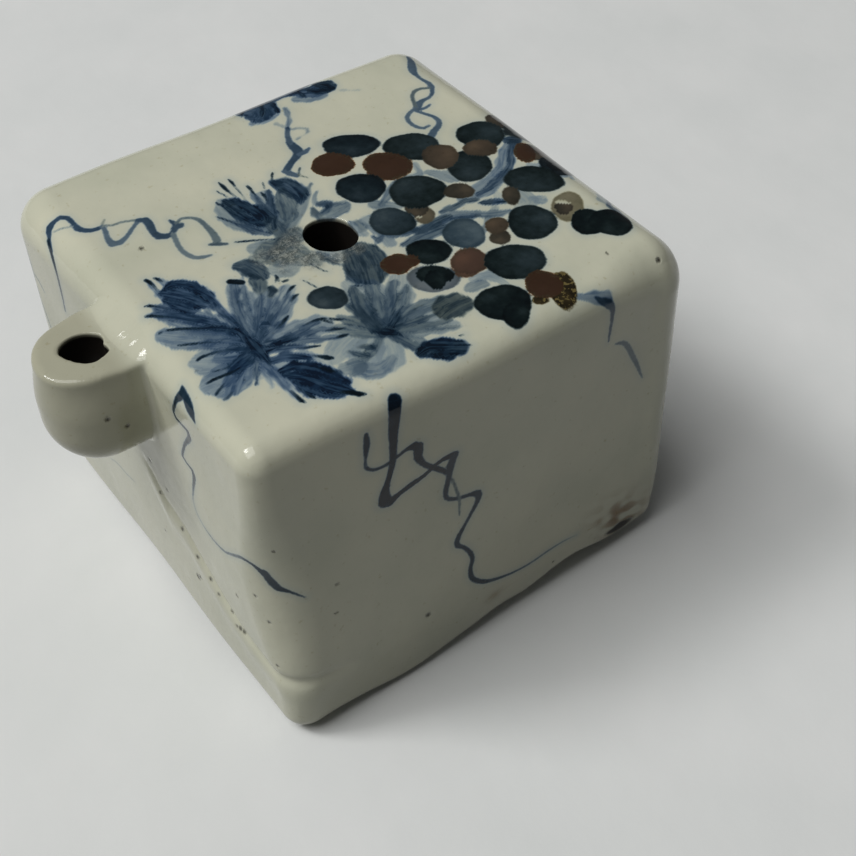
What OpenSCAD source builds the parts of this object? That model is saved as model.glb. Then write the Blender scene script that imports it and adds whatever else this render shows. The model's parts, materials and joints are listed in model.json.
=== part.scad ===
// Slab-built porcelain water dropper for calligraphy.
// A closed box of clay slabs luted together, with an air hole in its top and a stub spout
// on its left wall. The origin is the middle of the resting face under the box, +Z is up,
// the spout points along -X and the leaning front wall faces -Y.

/* [Body] */
// Width of the box across the front wall
body_w = 66; // [58:1:76]
// Depth of the box at its top
body_d = 64; // [58:1:74]
// Height of the box
body_h = 51; // [46:1:60]
// Radius of the upright corners
corner_r = 5.6; // [5:0.1:5.9]
// How far the foot of the front wall stands out past its head
front_lean = 1.6; // [0.4:0.2:3]

/* [Slabs] */
// Thickness of the four walls
wall_t = 6; // [5.7:0.1:8]
// Thickness of the top slab
top_t = 5.5; // [5:0.1:8]
// Thickness of the base slab
base_t = 6.5; // [4:0.1:9]
// Radius of the round along the top edges
top_edge_r = 4.8; // [4:0.1:5.4]
// Radius of the round along the bottom edges
base_edge_r = 3.5; // [1:0.1:5.4]

/* [Air hole] */
// Radius of the air hole in the top slab
air_hole_r = 3; // [2.4:0.1:4]
// Place of the air hole along the width
air_hole_x = -3.7; // [-10:0.1:10]
// Place of the air hole along the depth
air_hole_y = -2.3; // [-10:0.1:10]

/* [Spout] */
// Radius of the spout's stub
spout_r = 6.9; // [6:0.1:8]
// How far the spout stands out of the left wall
spout_reach = 11.2; // [10:0.1:14]
// Height of the spout from its round end to its lip
spout_h = 16; // [14.5:0.1:19]
// How far the lip lies below the top of the box
spout_drop = 2; // [1.5:0.1:3.5]
// Radius of the round along the spout's lip
lip_r = 1.4; // [0.6:0.1:2.4]
// Radius of the mouth in the lip
mouth_r = 2.5; // [2.3:0.1:3.2]
// Depth of the straight mouth below the lip
mouth_depth = 5.6; // [3:0.1:6]
// Radius of the channel from the mouth through the left wall
feed_r = 2.2; // [1.4:0.1:2.4]
// Depth of the channel's axis below the lip
feed_drop = 9.3; // [9:0.1:10.5]
// Radius of the roll of clay luted round the spout's root
root_roll_r = 1.4; // [0.8:0.1:3]

/* [Seam rolls] */
// Radius of the rolls of clay pressed into the inside corners
seam_roll_r = 3; // [2:0.1:3.5]

/* [Hidden] */
$fn = 96;
// Cuts run past the faces that they open by this much
over = 1;

half_w = body_w / 2;
half_d = body_d / 2;
wall_top = body_h - top_t;
wall_h = wall_top - base_t;
lean_deg = atan(front_lean / wall_h);
lip_z = body_h - spout_drop;
spout_x = -half_w - spout_reach + spout_r;
// Height of the centre of the stub's round end
stub_z = lip_z - spout_h + spout_r;
feed_z = lip_z - feed_drop;

porcelain = [0.80, 0.80, 0.73];
bare_clay = [0.76, 0.68, 0.56];

// Section of a slab's rim: height t, reach reach_r, its upper outer corner rounded by edge_r
module rim_section(reach_r, t, edge_r) {
  intersection() {
    square([reach_r, t]);
    union() {
      square([reach_r, t - edge_r]);
      square([reach_r - edge_r, t]);
      translate([reach_r - edge_r, t - edge_r]) circle(edge_r);
    }
  }
}

// Rim of a slab along its left (side = -1) or right edge, from y_from to y_to
module rim_bar(side, y_from, y_to, t, edge_r) {
  translate([side * (half_w - corner_r), side > 0 ? y_to : y_from, 0])
    rotate([90, 0, side > 0 ? 0 : 180])
      linear_extrude(y_to - y_from) rim_section(corner_r, t, edge_r);
}

// Flat slab between y_front and y_back with round plan corners and a rounded upper rim
module rimmed_slab(y_front, y_back, t, edge_r) {
  x_c = half_w - corner_r;
  front_c = y_front + corner_r;
  back_c = y_back - corner_r;
  translate([-x_c, front_c, 0]) cube([2 * x_c, back_c - front_c, t]);
  for (x = [-x_c, x_c], y = [front_c, back_c])
    translate([x, y, 0]) rotate_extrude() rim_section(corner_r, t, edge_r);
  for (side = [-1, 1])
    rim_bar(side, front_c, back_c, t, edge_r);
  translate([-x_c, back_c, 0]) rotate([90, 0, 90])
    linear_extrude(2 * x_c) rim_section(corner_r, t, edge_r);
  translate([x_c, front_c, 0]) rotate([90, 0, -90])
    linear_extrude(2 * x_c) rim_section(corner_r, t, edge_r);
}

// Plan of a wall that runs the full width, outer face on y = 0 and its ends rounded
module full_width_plan() {
  translate([-half_w + corner_r, 0]) square([body_w - 2 * corner_r, wall_t]);
  translate([-half_w, corner_r]) square([body_w, wall_t - corner_r]);
  intersection() {
    translate([-half_w, 0]) square([body_w, corner_r]);
    for (x = [-half_w + corner_r, half_w - corner_r])
      translate([x, corner_r]) circle(corner_r);
  }
}

// Puts a shape drawn upright against y = 0, hanging below z = 0, on the leaning front plane
module lean_forward() {
  translate([0, -half_d, wall_top]) rotate([-lean_deg, 0, 0]) children();
}

// All that lies in front of the front wall's inner face
module ahead_of_chamber() {
  lean_forward()
    translate([-body_w, -body_d, -2 * body_h]) cube([2 * body_w, body_d + wall_t, 3 * body_h]);
}

// The layer of height that the walls fill
module wall_layer() {
  translate([-body_w, -body_d, base_t]) cube([2 * body_w, 2 * body_d, wall_h]);
}

// The hollow inside the box
module chamber() {
  difference() {
    translate([-half_w + wall_t, -body_d, base_t])
      cube([body_w - 2 * wall_t, body_d + half_d - wall_t, wall_h]);
    ahead_of_chamber();
  }
}

module top_slab() {
  color(porcelain) difference() {
    translate([0, 0, wall_top]) rimmed_slab(-half_d, half_d, top_t, top_edge_r);
    translate([air_hole_x, air_hole_y, wall_top - over])
      cylinder(r = air_hole_r, h = top_t + 2 * over);
  }
}

module base_slab() {
  color(bare_clay) translate([0, 0, base_t]) mirror([0, 0, 1])
    rimmed_slab(-half_d - front_lean, half_d, base_t, base_edge_r);
}

module front_wall() {
  color(porcelain) intersection() {
    wall_layer();
    lean_forward() translate([0, 0, -wall_h - body_h])
      linear_extrude(wall_h + 2 * body_h) full_width_plan();
  }
}

module back_wall() {
  color(porcelain) translate([0, half_d, base_t]) mirror([0, 1, 0])
    linear_extrude(wall_h) full_width_plan();
}

// Side wall between the front and back walls, its outer face on x = -half_w
module side_wall() {
  difference() {
    translate([-half_w, -body_d, base_t]) cube([wall_t, body_d + half_d - wall_t, wall_h]);
    ahead_of_chamber();
  }
}

// Channel down from the mouth, round a bend and along X into the chamber
module feed_channel() {
  translate([spout_x, 0, feed_z]) {
    cylinder(r = feed_r, h = feed_drop);
    sphere(feed_r);
    rotate([0, 90, 0]) cylinder(r = feed_r, h = -half_w + wall_t + over - spout_x);
  }
}

module left_wall() {
  color(porcelain) difference() {
    side_wall();
    feed_channel();
  }
}

module right_wall() {
  color(porcelain) mirror([1, 0, 0]) side_wall();
}

// Profile of the stub from its axis outwards, round at its lower end and at its lip
module stub_section() {
  intersection() {
    translate([0, -spout_r]) square([spout_r, spout_h]);
    union() {
      circle(spout_r);
      square([spout_r, spout_h - spout_r - lip_r]);
      square([spout_r - lip_r, spout_h - spout_r]);
      translate([spout_r - lip_r, spout_h - spout_r - lip_r]) circle(lip_r);
    }
  }
}

module spout() {
  neck = -half_w - spout_x;
  color(porcelain) difference() {
    translate([spout_x, 0, stub_z]) {
      intersection() {
        rotate_extrude() stub_section();
        translate([-body_w, -body_d, -body_h]) cube([body_w + neck, 2 * body_d, 2 * body_h]);
      }
      for (turn = [0, 1])
        mirror([0, turn, 0]) rotate([90, 0, 90]) linear_extrude(neck) stub_section();
    }
    translate([spout_x, 0, lip_z - mouth_depth]) cylinder(r = mouth_r, h = mouth_depth + over);
    feed_channel();
  }
}

// Section of the luted roll where it fills the inside angle between the wall and the stub
module root_section() {
  difference() {
    square(root_roll_r);
    translate([root_roll_r, root_roll_r]) circle(root_roll_r);
  }
}

// Section of the luted roll over the lip, drawn in X and Z, hollowed up to the top slab's round
module root_top_section() {
  round_c = [-half_w + top_edge_r, body_h - top_edge_r];
  // Centre of the hollow, which touches both the lip and the round
  rise = lip_z + root_roll_r - round_c[1];
  reach = sqrt(pow(top_edge_r + root_roll_r, 2) - rise * rise);
  hollow_c = [round_c[0] - reach, lip_z + root_roll_r];
  difference() {
    polygon([hollow_c, [hollow_c[0], lip_z], [-half_w, lip_z], [-half_w, round_c[1]], round_c]);
    translate(hollow_c) circle(root_roll_r);
    translate(round_c) circle(top_edge_r);
  }
}

module spout_root_roll() {
  root_half = spout_r + root_roll_r;
  color(porcelain) {
    translate([-half_w, 0, stub_z]) intersection() {
      rotate([0, -90, 0]) rotate_extrude() translate([spout_r, 0]) root_section();
      translate([-body_w, -body_d, -body_h]) cube([2 * body_w, 2 * body_d, body_h]);
    }
    for (turn = [0, 1])
      mirror([0, turn, 0]) translate([-half_w, spout_r, stub_z]) rotate([0, 0, 90])
        linear_extrude(lip_z - stub_z) root_section();
    translate([0, root_half, 0]) rotate([90, 0, 0])
      linear_extrude(2 * root_half) root_top_section();
  }
}

module corner_seam_rolls() {
  x_in = half_w - wall_t;
  roll_h = wall_h - seam_roll_r;
  color(bare_clay) intersection() {
    chamber();
    translate([-body_w, -body_d, base_t]) cube([2 * body_w, 2 * body_d, roll_h]);
    for (x = [-x_in, x_in]) {
      translate([x, half_d - wall_t, base_t]) cylinder(r = seam_roll_r, h = wall_h);
      lean_forward() translate([x, wall_t, -2 * wall_h])
        cylinder(r = seam_roll_r, h = 3 * wall_h);
    }
  }
}

module top_seam_roll() {
  x_in = half_w - wall_t;
  y_in = half_d - wall_t;
  color(bare_clay) intersection() {
    chamber();
    union() {
      for (x = [-x_in, x_in])
        translate([x, half_d, wall_top]) rotate([90, 0, 0])
          cylinder(r = seam_roll_r, h = body_d);
      for (y = [-y_in, y_in])
        translate([-half_w, y, wall_top]) rotate([0, 90, 0])
          cylinder(r = seam_roll_r, h = body_w);
    }
  }
}

top_slab();
base_slab();
front_wall();
back_wall();
left_wall();
right_wall();
spout();
spout_root_roll();
corner_seam_rolls();
top_seam_roll();
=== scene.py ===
# Looks of a slab-built porcelain water dropper: a glazed box with a grapevine painted under
# the glaze, an air hole in its top and a stub of a spout on its left wall.
import json
import math

import bmesh
import bpy
import numpy as np
from mathutils import Matrix, Vector
from mathutils.bvhtree import BVHTree


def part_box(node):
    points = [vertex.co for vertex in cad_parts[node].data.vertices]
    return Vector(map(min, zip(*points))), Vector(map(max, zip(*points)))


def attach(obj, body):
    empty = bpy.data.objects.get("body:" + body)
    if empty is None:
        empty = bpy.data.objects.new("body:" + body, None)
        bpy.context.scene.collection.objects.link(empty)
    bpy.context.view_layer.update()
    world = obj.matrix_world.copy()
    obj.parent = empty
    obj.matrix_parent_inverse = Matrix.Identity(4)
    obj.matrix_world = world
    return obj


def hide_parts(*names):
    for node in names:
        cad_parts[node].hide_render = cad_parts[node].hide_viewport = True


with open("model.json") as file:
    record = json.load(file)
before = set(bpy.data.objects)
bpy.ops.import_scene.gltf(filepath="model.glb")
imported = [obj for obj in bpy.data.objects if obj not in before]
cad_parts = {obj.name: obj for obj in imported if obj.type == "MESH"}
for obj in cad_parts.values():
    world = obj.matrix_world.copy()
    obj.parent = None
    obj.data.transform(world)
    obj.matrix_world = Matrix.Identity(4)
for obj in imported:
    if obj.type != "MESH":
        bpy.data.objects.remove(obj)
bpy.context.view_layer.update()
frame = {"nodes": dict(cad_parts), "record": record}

MM = 0.001
ROOT = "root"


def mount(name):
    """One of the record's mounts."""
    return next(m for m in frame["record"]["mounts"] if m["name"] == name)


# Sizes of the object, all from the frame, in metres
BASE_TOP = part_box("base_slab")[1].z
WALL_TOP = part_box("top_slab")[0].z
BOX_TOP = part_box("top_slab")[1].z
HALF_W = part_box("top_slab")[1].x
HALF_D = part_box("top_slab")[1].y
WALL_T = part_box("right_wall")[1].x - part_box("right_wall")[0].x
LIP_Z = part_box("spout")[1].z
SPOUT_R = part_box("spout")[1].y
SPOUT_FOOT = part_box("spout")[0].z
AIR_HOLE = Vector(mount("air_hole")["pos_m"])
MOUTH = Vector(mount("spout_mouth")["pos_m"])
MOUTH_R = mount("spout_mouth")["dims"]["r_mm"] * MM
# The mouth was pierced a little nearer to the front
PIERCED = MOUTH + Vector((-0.2, -0.8, 0)) * MM

# Camera, at the photograph's viewing angle
CAMERA_AZIMUTH = math.radians(-37.03)
CAMERA_ELEVATION = math.radians(46.68)
CAMERA_ROLL = math.radians(0.30)
CAMERA_DISTANCE = 189.17 * MM
CAMERA_LENS = 56.0
CAMERA_AIM = Vector((4.34, -12.02, 18.96)) * MM


def aim_camera():
    """Makes the scene's camera and returns its place."""
    back = Vector((
        math.sin(CAMERA_AZIMUTH) * math.cos(CAMERA_ELEVATION),
        -math.cos(CAMERA_AZIMUTH) * math.cos(CAMERA_ELEVATION),
        math.sin(CAMERA_ELEVATION),
    ))
    camera = bpy.data.objects.new("camera", bpy.data.cameras.new("camera"))
    bpy.context.collection.objects.link(camera)
    camera.data.lens = CAMERA_LENS
    camera.data.clip_start = 1 * MM
    turn = back.to_track_quat("Z", "Y") @ Matrix.Rotation(CAMERA_ROLL, 3, "Z").to_quaternion()
    camera.rotation_mode = "QUATERNION"
    camera.rotation_quaternion = turn
    camera.location = CAMERA_AIM + back * CAMERA_DISTANCE
    bpy.context.scene.camera = camera
    return camera.location.copy()


CAMERA = aim_camera()


# The box's outer form
DIVISIONS = 240
# Rounds of the top edge at the four corners, which the hand left uneven, and of the other edges
TOP_ROUND = {"front_left": 3.0, "front_right": 6.6, "back_left": 5.2, "back_right": 5.6}
UPRIGHT_ROUND = 5.9
FOOT_ROUND = 3.3
# The front wall's foot stands out, and the right wall's a little
FRONT_LEAN = 1.7
RIGHT_LEAN = 0.5
# How far the front wall's upper edge stands back at its left and from its middle on
EDGE_BACK = (2.7, 1.3)
# How far the right wall's foot tucks in towards the front
FOOT_TUCK = 2.0
# The front wall swells in its middle
FRONT_SWELL = 0.6
WAVE_HEIGHT = 0.09


def smooth_step(low, high, value):
    """The value's smooth way from low to high, as 0 to 1."""
    t = np.clip((value - low) / (high - low), 0, 1)
    return t * t * (3 - 2 * t)


def ruled(share, low, high, cuts):
    """Places along an edge, with the grid line that is nearest to each cut moved on to it."""
    lines = [low + (high - low) * round((c - low) / (high - low) * DIVISIONS) / DIVISIONS for c in cuts]
    return np.interp(low + share * (high - low), [low, *lines, high], [low, *cuts, high])


def edge_round(x, y, z):
    """Radius of the round of the nearest edge, in mm, for places in mm."""
    right = np.clip(0.5 + x / (2 * HALF_W / MM), 0, 1)
    back = np.clip(0.5 + y / (2 * HALF_D / MM), 0, 1)
    corner = smooth_step(0.72, 1.0, right)
    front_round = TOP_ROUND["front_left"] * (1 - corner) + TOP_ROUND["front_right"] * corner
    back_round = TOP_ROUND["back_left"] * (1 - right) + TOP_ROUND["back_right"] * right
    top = front_round * (1 - back) + back_round * back
    # Along the foot the round is uneven where the base was pressed on
    foot = FOOT_ROUND + 0.5 * np.sin(x / 5.2 + 0.6) + 0.6 * np.exp(-(((x - 15) / 6) ** 2))
    foot = foot - 0.8 * np.exp(-(((x + 15) / 6) ** 2))
    near_top = smooth_step(26, 46, z)
    near_foot = 1 - smooth_step(5, 20, z)
    return (UPRIGHT_ROUND * (1 - near_top) + top * near_top) * (1 - near_foot) + foot * near_foot


# The luted seam of the base, as places along the left and the front wall and its heights: the first
# number runs towards the front on the left wall and goes on round the corner
SEAM = [(-0.7, 25.8), (3.4, 20.8), (8, 19.4), (11.3, 17), (15.9, 14.5), (21.1, 12.3),
        (25, 11.7), (29, 11.3), (35.5, 11.3), (37.7, 11), (40.1, 10.6), (43, 10.2)]
SEAM_DEPTH = 0.4


def seam_press(x, y, z):
    """How far the seam lies under the skin, in mm: a soft crease with a lip below it."""
    run = x + HALF_W / MM - y
    below = z - np.interp(run, *zip(*SEAM))
    shown = smooth_step(-2.5, 2.5, run) * smooth_step(44, 35, run)
    shown *= smooth_step(-18, -22, x) * smooth_step(31, 28, y)
    crease, lip = np.exp(-(below / 0.9) ** 2), np.exp(-((below + 2.6) / 1.6) ** 2)
    return shown * SEAM_DEPTH * (crease - 0.3 * lip)


def pressed(flat):
    """Places on the six planes of the box, in metres, moved on to its hand-made outer form."""
    x, y, z = (flat / MM).T
    w, d, h = HALF_W / MM, HALF_D / MM, BOX_TOP / MM
    r = edge_round(x, y, z)
    core = np.stack([
        np.clip(x, r - w, w - r),
        np.clip(y, r - d, d - r),
        np.clip(z, r, h - r),
    ], 1)
    way = np.stack([x, y, z], 1) - core
    way /= np.linalg.norm(way, axis=1)[:, None]
    x, y, z = (core + way * r[:, None]).T
    x, y = np.stack([x, y]) - way[:, :2].T * seam_press(x, y, z)
    forward, rightward = 0.5 - y / (2 * d), 0.5 + x / (2 * w)
    near_front = smooth_step(-d + 7, -d + 1, y)
    low = 1 - z / h
    wave_x = np.sin(y / 5.1 + z / 7.3 + 0.4) + 0.7 * np.sin(z / 4.1 - y / 8.2 + 2.1)
    wave_y = np.sin(x / 4.6 - z / 6.1 + 1.3) + 0.7 * np.sin(z / 5.3 + x / 9.5 + 0.2)
    wave_z = np.sin(x / 5.7 + y / 6.6) + 0.7 * np.sin(x / 8.9 - y / 4.4 + 1.0)
    swell = forward * FRONT_SWELL * (1 - (x / w) ** 2) * smooth_step(0, 12, z)
    y = y - forward * FRONT_LEAN * low - swell
    x = x + rightward * RIGHT_LEAN * low - FOOT_TUCK * rightward * forward * smooth_step(20, 3, z)
    # The front wall's upper edge stands back, most at the left
    back = EDGE_BACK[0] + (EDGE_BACK[1] - EDGE_BACK[0]) * smooth_step(-26, 4, x)
    y = y + back * smooth_step(33, 25, x) * smooth_step(-14, -26, y) * smooth_step(4, 36, z)
    # Its foot was lifted off the table in a wave
    lift = 1.2 * smooth_step(5, 12, x) + 1.0 * np.exp(-((x - 15) / 4.5) ** 2)
    lift = lift + 0.4 * np.exp(-((x - 1) / 3) ** 2)
    z = z + lift * near_front * smooth_step(11, 0, z)
    near_top = smooth_step(h - 4, h, z)
    return np.stack([
        x + WAVE_HEIGHT * wave_x,
        y + WAVE_HEIGHT * wave_y,
        z + near_top * WAVE_HEIGHT * wave_z,
    ], 1) * MM


def box_skin():
    """The box's whole skin of small squares: places on the flat planes, squares and their side."""
    bpy.ops.object.select_all(action="DESELECT")
    bpy.ops.mesh.primitive_cube_add(size=1)
    block = bpy.context.object
    bpy.ops.object.mode_set(mode="EDIT")
    bpy.ops.mesh.subdivide(number_cuts=14)
    bpy.ops.mesh.subdivide(number_cuts=DIVISIONS // 15 - 1)
    bpy.ops.object.mode_set(mode="OBJECT")
    share = np.empty(len(block.data.vertices) * 3)
    block.data.vertices.foreach_get("co", share)
    share = share.reshape(-1, 3) + 0.5
    squares = np.empty(len(block.data.polygons) * 4, int)
    block.data.polygons.foreach_get("vertices", squares)
    squares = squares.reshape(-1, 4)
    bpy.data.objects.remove(block)
    flat = np.stack([
        ruled(share[:, 0], -HALF_W, HALF_W, []),
        ruled(share[:, 1], -HALF_D, HALF_D, [WALL_T - HALF_D, HALF_D - WALL_T]),
        ruled(share[:, 2], 0, BOX_TOP, [BASE_TOP, WALL_TOP]),
    ], 1)
    return flat, squares


def slab_of(middle):
    """Index in SLABS of the slab that each square belongs to, from the squares' middles."""
    x, y, z = middle.T
    side = np.where(y < WALL_T - HALF_D, 2, np.where(y > HALF_D - WALL_T, 3, np.where(x < 0, 4, 5)))
    return np.where(z > WALL_TOP, 0, np.where(z < BASE_TOP, 1, side))


SLABS = ["top_slab", "base_slab", "front_wall", "back_wall", "left_wall", "right_wall"]


def unfolded(flat, middle):
    """Where each corner of each square lies on the box's paper pattern, unfolded round the top."""
    x, y, z = flat[..., 0], flat[..., 1], flat[..., 2]
    down = BOX_TOP - z
    tight = 1e-6
    left, right = middle[:, 0] < -HALF_W + tight, middle[:, 0] > HALF_W - tight
    front, back = middle[:, 1] < -HALF_D + tight, middle[:, 1] > HALF_D - tight
    under = middle[:, 2] < tight
    u = np.where(left[:, None], x - down, np.where(right[:, None], x + down, x))
    v = np.where(front[:, None], y - down, np.where(back[:, None], y + down, y))
    v = np.where(under[:, None], y + 4 * BOX_TOP, v)
    return np.stack([u, v], -1)


def add_mesh(name, places, faces):
    """A new mesh object with smooth faces."""
    mesh = bpy.data.meshes.new(name)
    mesh.from_pydata(places, [], faces)
    mesh.polygons.foreach_set("use_smooth", np.ones(len(mesh.polygons), bool))
    piece = bpy.data.objects.new(name, mesh)
    bpy.context.collection.objects.link(piece)
    return piece


def close_slab(piece, inward):
    """Gives an open stretch of skin its flat inner faces, on the second material slot."""
    bm = bmesh.new()
    bm.from_mesh(piece.data)
    if inward is not None:
        rim = [e for e in bm.edges if e.is_boundary]
        new = bmesh.ops.extrude_edge_only(bm, edges=rim)["geom"]
        moved = [g for g in new if isinstance(g, bmesh.types.BMVert)]
        bmesh.ops.translate(bm, verts=moved, vec=inward)
        for face in {f for g in new if isinstance(g, bmesh.types.BMEdge) for f in g.link_faces}:
            face.material_index = 1
            face.smooth = False
    else:
        for height in (BASE_TOP, WALL_TOP):
            row = [e for e in bm.edges
                   if e.is_boundary and all(abs(v.co.z - height) < 1e-6 for v in e.verts)]
            ends = [v for v in {v for e in row for v in e.verts}
                    if sum(e in row for e in v.link_edges) == 1]
            if len(ends) == 2:
                row.append(bm.edges.new(ends))
                bmesh.ops.edgeloop_fill(bm, edges=row, mat_nr=1, use_smooth=False)
    rim = [e for e in bm.edges if e.is_boundary]
    bmesh.ops.edgeloop_fill(bm, edges=rim, mat_nr=1, use_smooth=False)
    for edge in bm.edges:
        edge.smooth = len({f.material_index for f in edge.link_faces}) == 1
    bmesh.ops.recalc_face_normals(bm, faces=bm.faces)
    bm.to_mesh(piece.data)
    bm.free()


def make_slabs():
    """The six slabs of the box, cut from one skin so that no seam shows between them."""
    flat, squares = box_skin()
    middle = flat[squares].mean(1)
    pattern = unfolded(flat[squares], middle)
    owner = slab_of(middle)
    places = pressed(flat)
    slabs = {}
    for index, name in enumerate(SLABS):
        mine = squares[owner == index]
        used, faces = np.unique(mine, return_inverse=True)
        piece = add_mesh(name + "_skin", places[used].tolist(), faces.reshape(-1, 4).tolist())
        uv = pattern[owner == index].reshape(-1, 2)
        uv = (uv - uv.min(0)) / (uv.max(0) - uv.min(0)).max()
        layer = piece.data.uv_layers.new(name="OFBake")
        layer.data.foreach_set("uv", uv.astype(np.float32).ravel())
        inward = {"left_wall": Vector((WALL_T, 0, 0)), "right_wall": Vector((-WALL_T, 0, 0))}.get(name)
        close_slab(piece, inward)
        slabs[name] = piece
    return slabs


def skin_tree(pieces):
    """A search tree over the pieces' faces, for placing things on them."""
    corners, faces = [], []
    for piece in pieces:
        start = len(corners)
        corners += [v.co.copy() for v in piece.data.vertices]
        faces += [[start + i for i in p.vertices] for p in piece.data.polygons if p.material_index == 0]
    return BVHTree.FromPolygons(corners, faces)


def apply_modifier(piece, kind, **settings):
    """Adds a modifier to the piece and applies it."""
    bpy.ops.object.select_all(action="DESELECT")
    piece.select_set(True)
    bpy.context.view_layer.objects.active = piece
    modifier = piece.modifiers.new(kind.lower(), kind)
    for key, value in settings.items():
        setattr(modifier, key, value)
    bpy.ops.object.modifier_apply(modifier=modifier.name)


def drill(pieces, cutter):
    """Cuts the cutter out of the pieces and removes it."""
    for piece in pieces:
        apply_modifier(piece, "BOOLEAN", object=cutter, operation="DIFFERENCE", solver="EXACT")
    bpy.data.objects.remove(cutter)


# The pierced holes' outlines, in degrees and mm, and the rounds that the finger left along their rims
MOUTH_OUTLINE = [
    (-172, 2.1, 0.3), (-139, 1.9, 0.25), (-110, 2.04, 0.2), (-85, 2.18, 0.2), (-65, 2.19, 0.2),
    (-45, 2.44, 0.2), (-29, 2.68, 0.25), (-11, 2.42, 0.25), (2, 2.25, 0.25), (19, 2.8, 0.25),
    (32, 3.1, 0.3), (49, 3.1, 0.3), (92, 3.35, 0.35), (133, 3.4, 0.35), (151, 3.2, 0.35),
    (165, 2.7, 0.3),
]
AIR_HOLE_OUTLINE = [
    (-165, 3.05, 0.25), (-133, 2.88, 0.25), (-103, 2.95, 0.25), (-78, 3.19, 0.25),
    (-53, 3.35, 0.25), (-29, 3.4, 0.25), (-3, 3.3, 0.25), (21, 3.45, 0.25), (46, 3.75, 0.25),
    (71, 3.9, 0.25), (92, 4.0, 0.25), (111, 4.0, 0.25), (136, 3.7, 0.25), (169, 3.2, 0.25),
]


def pierced_hole(name, centre, outline, depth, around=96):
    """Cutter for a hole pierced by hand, its rim rounded unevenly."""
    angles, radii, rounds = np.array(outline, float).T
    turn = np.arange(around) * 360 / around - 180
    radius = np.interp(turn, angles, radii, period=360) * MM
    soft = np.interp(turn, angles, rounds, period=360) * MM
    arc = np.radians(range(180, 99, -8))
    levels = [(radius, np.full(around, -depth)), (radius, np.full(around, -0.7 * MM))]
    levels += [(radius + soft * (1 + math.cos(a)), soft * (math.sin(a) - 0.96)) for a in arc]
    levels.append((levels[-1][0] + 2 * MM, levels[-1][1] + 0.6 * MM))
    across, along = np.cos(np.radians(turn)), np.sin(np.radians(turn))
    rings = [np.stack([r * across, r * along, h], 1) for r, h in levels]
    faces = []
    for i in range(len(rings) - 1):
        for k in range(around):
            n = (k + 1) % around
            faces.append([i * around + k, i * around + n, (i + 1) * around + n, (i + 1) * around + k])
    faces.append(list(range(around))[::-1])
    faces.append([(len(rings) - 1) * around + k for k in range(around)])
    cutter = add_mesh(name, np.concatenate(rings).tolist(), faces)
    cutter.data.transform(Matrix.Translation(centre))
    return cutter


# The spout
ROOT_X = -HALF_W
STUB_Z = SPOUT_FOOT + SPOUT_R
LIP_ROUND = 0.7 * MM
CLAY_GRAIN = 0.22 * MM
# Where the worked root starts on the stub, and how far it spreads over the wall, at the stub's
# sides and in the middle of its lip
ROOT_REACH = (0.9 * MM, 1.5 * MM)
ROOT_SPREAD = (0.9 * MM, 3.0 * MM)
# Depth of the channel's axis below the lip
FEED_DROP = 9.3 * MM


def moulded(x, y, z):
    """The stub's sharp-edged places, in metres, moved to its rounded lip and its pinched shape."""
    free = smooth_step(ROOT_X - 2.0 * MM, ROOT_X - 5.0 * MM, x)
    rise = np.clip((z - (LIP_Z - LIP_ROUND)) / LIP_ROUND, 0, 1)
    # The finger drew the stub in towards its lip
    drawn = smooth_step(LIP_Z - 6.5 * MM, LIP_Z, z)
    slim = (SPOUT_R - LIP_ROUND * (1 - np.sqrt(1 - rise**2))) / SPOUT_R
    full = 1.02 * (1 - (0.03 + 0.06 * free) * drawn)
    x = np.where(x < MOUTH.x, MOUTH.x + (x - MOUTH.x) * slim * full, x)
    y = y * slim * full - 0.3 * MM * drawn
    # Its near side leans in most
    y = y + 0.8 * MM * drawn * smooth_step(0, -SPOUT_R, y)
    z = z + free * 0.08 * MM * np.sin(x / (1.7 * MM) + y / (2.3 * MM))
    return np.stack([x, y, z], 1)


def make_spout():
    """A thumb of clay with a flat lip, its end and its underside round."""
    bpy.ops.object.select_all(action="DESELECT")
    neck = ROOT_X - MOUTH.x
    upright = LIP_Z - STUB_Z
    solids = []
    for shape, settings in (
        ("uv_sphere", dict(radius=SPOUT_R, segments=96, ring_count=64, location=(MOUTH.x, 0, STUB_Z))),
        ("cylinder", dict(radius=SPOUT_R, depth=upright, vertices=96,
                          location=(MOUTH.x, 0, STUB_Z + upright / 2))),
        ("cylinder", dict(radius=SPOUT_R, depth=neck, vertices=96, rotation=(0, math.pi / 2, 0),
                          location=(MOUTH.x + neck / 2, 0, STUB_Z))),
        ("cube", dict(size=1, scale=(neck, 2 * SPOUT_R, upright),
                      location=(MOUTH.x + neck / 2, 0, STUB_Z + upright / 2))),
    ):
        getattr(bpy.ops.mesh, f"primitive_{shape}_add")(**settings)
        solids.append(bpy.context.object)
    for solid in solids:
        solid.select_set(True)
    bpy.ops.object.transform_apply(location=True, rotation=True, scale=True)
    bpy.ops.object.join()
    spout = bpy.context.object
    spout.name = "spout_stub"
    apply_modifier(spout, "REMESH", mode="VOXEL", voxel_size=CLAY_GRAIN)
    move_places(spout, lambda p: moulded(*p.T))
    apply_modifier(spout, "SMOOTH", factor=0.5, iterations=3)
    spout.data.polygons.foreach_set("use_smooth", np.ones(len(spout.data.polygons), bool))
    return spout


def places_of(piece):
    """The piece's places as rows of x, y and z, in metres."""
    flat = np.empty(len(piece.data.vertices) * 3)
    piece.data.vertices.foreach_get("co", flat)
    return flat.reshape(-1, 3)


def move_places(piece, rule):
    """Moves the piece's places by a rule on all of them."""
    piece.data.vertices.foreach_set("co", rule(places_of(piece)).astype(np.float32).ravel())
    piece.data.update()


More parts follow.
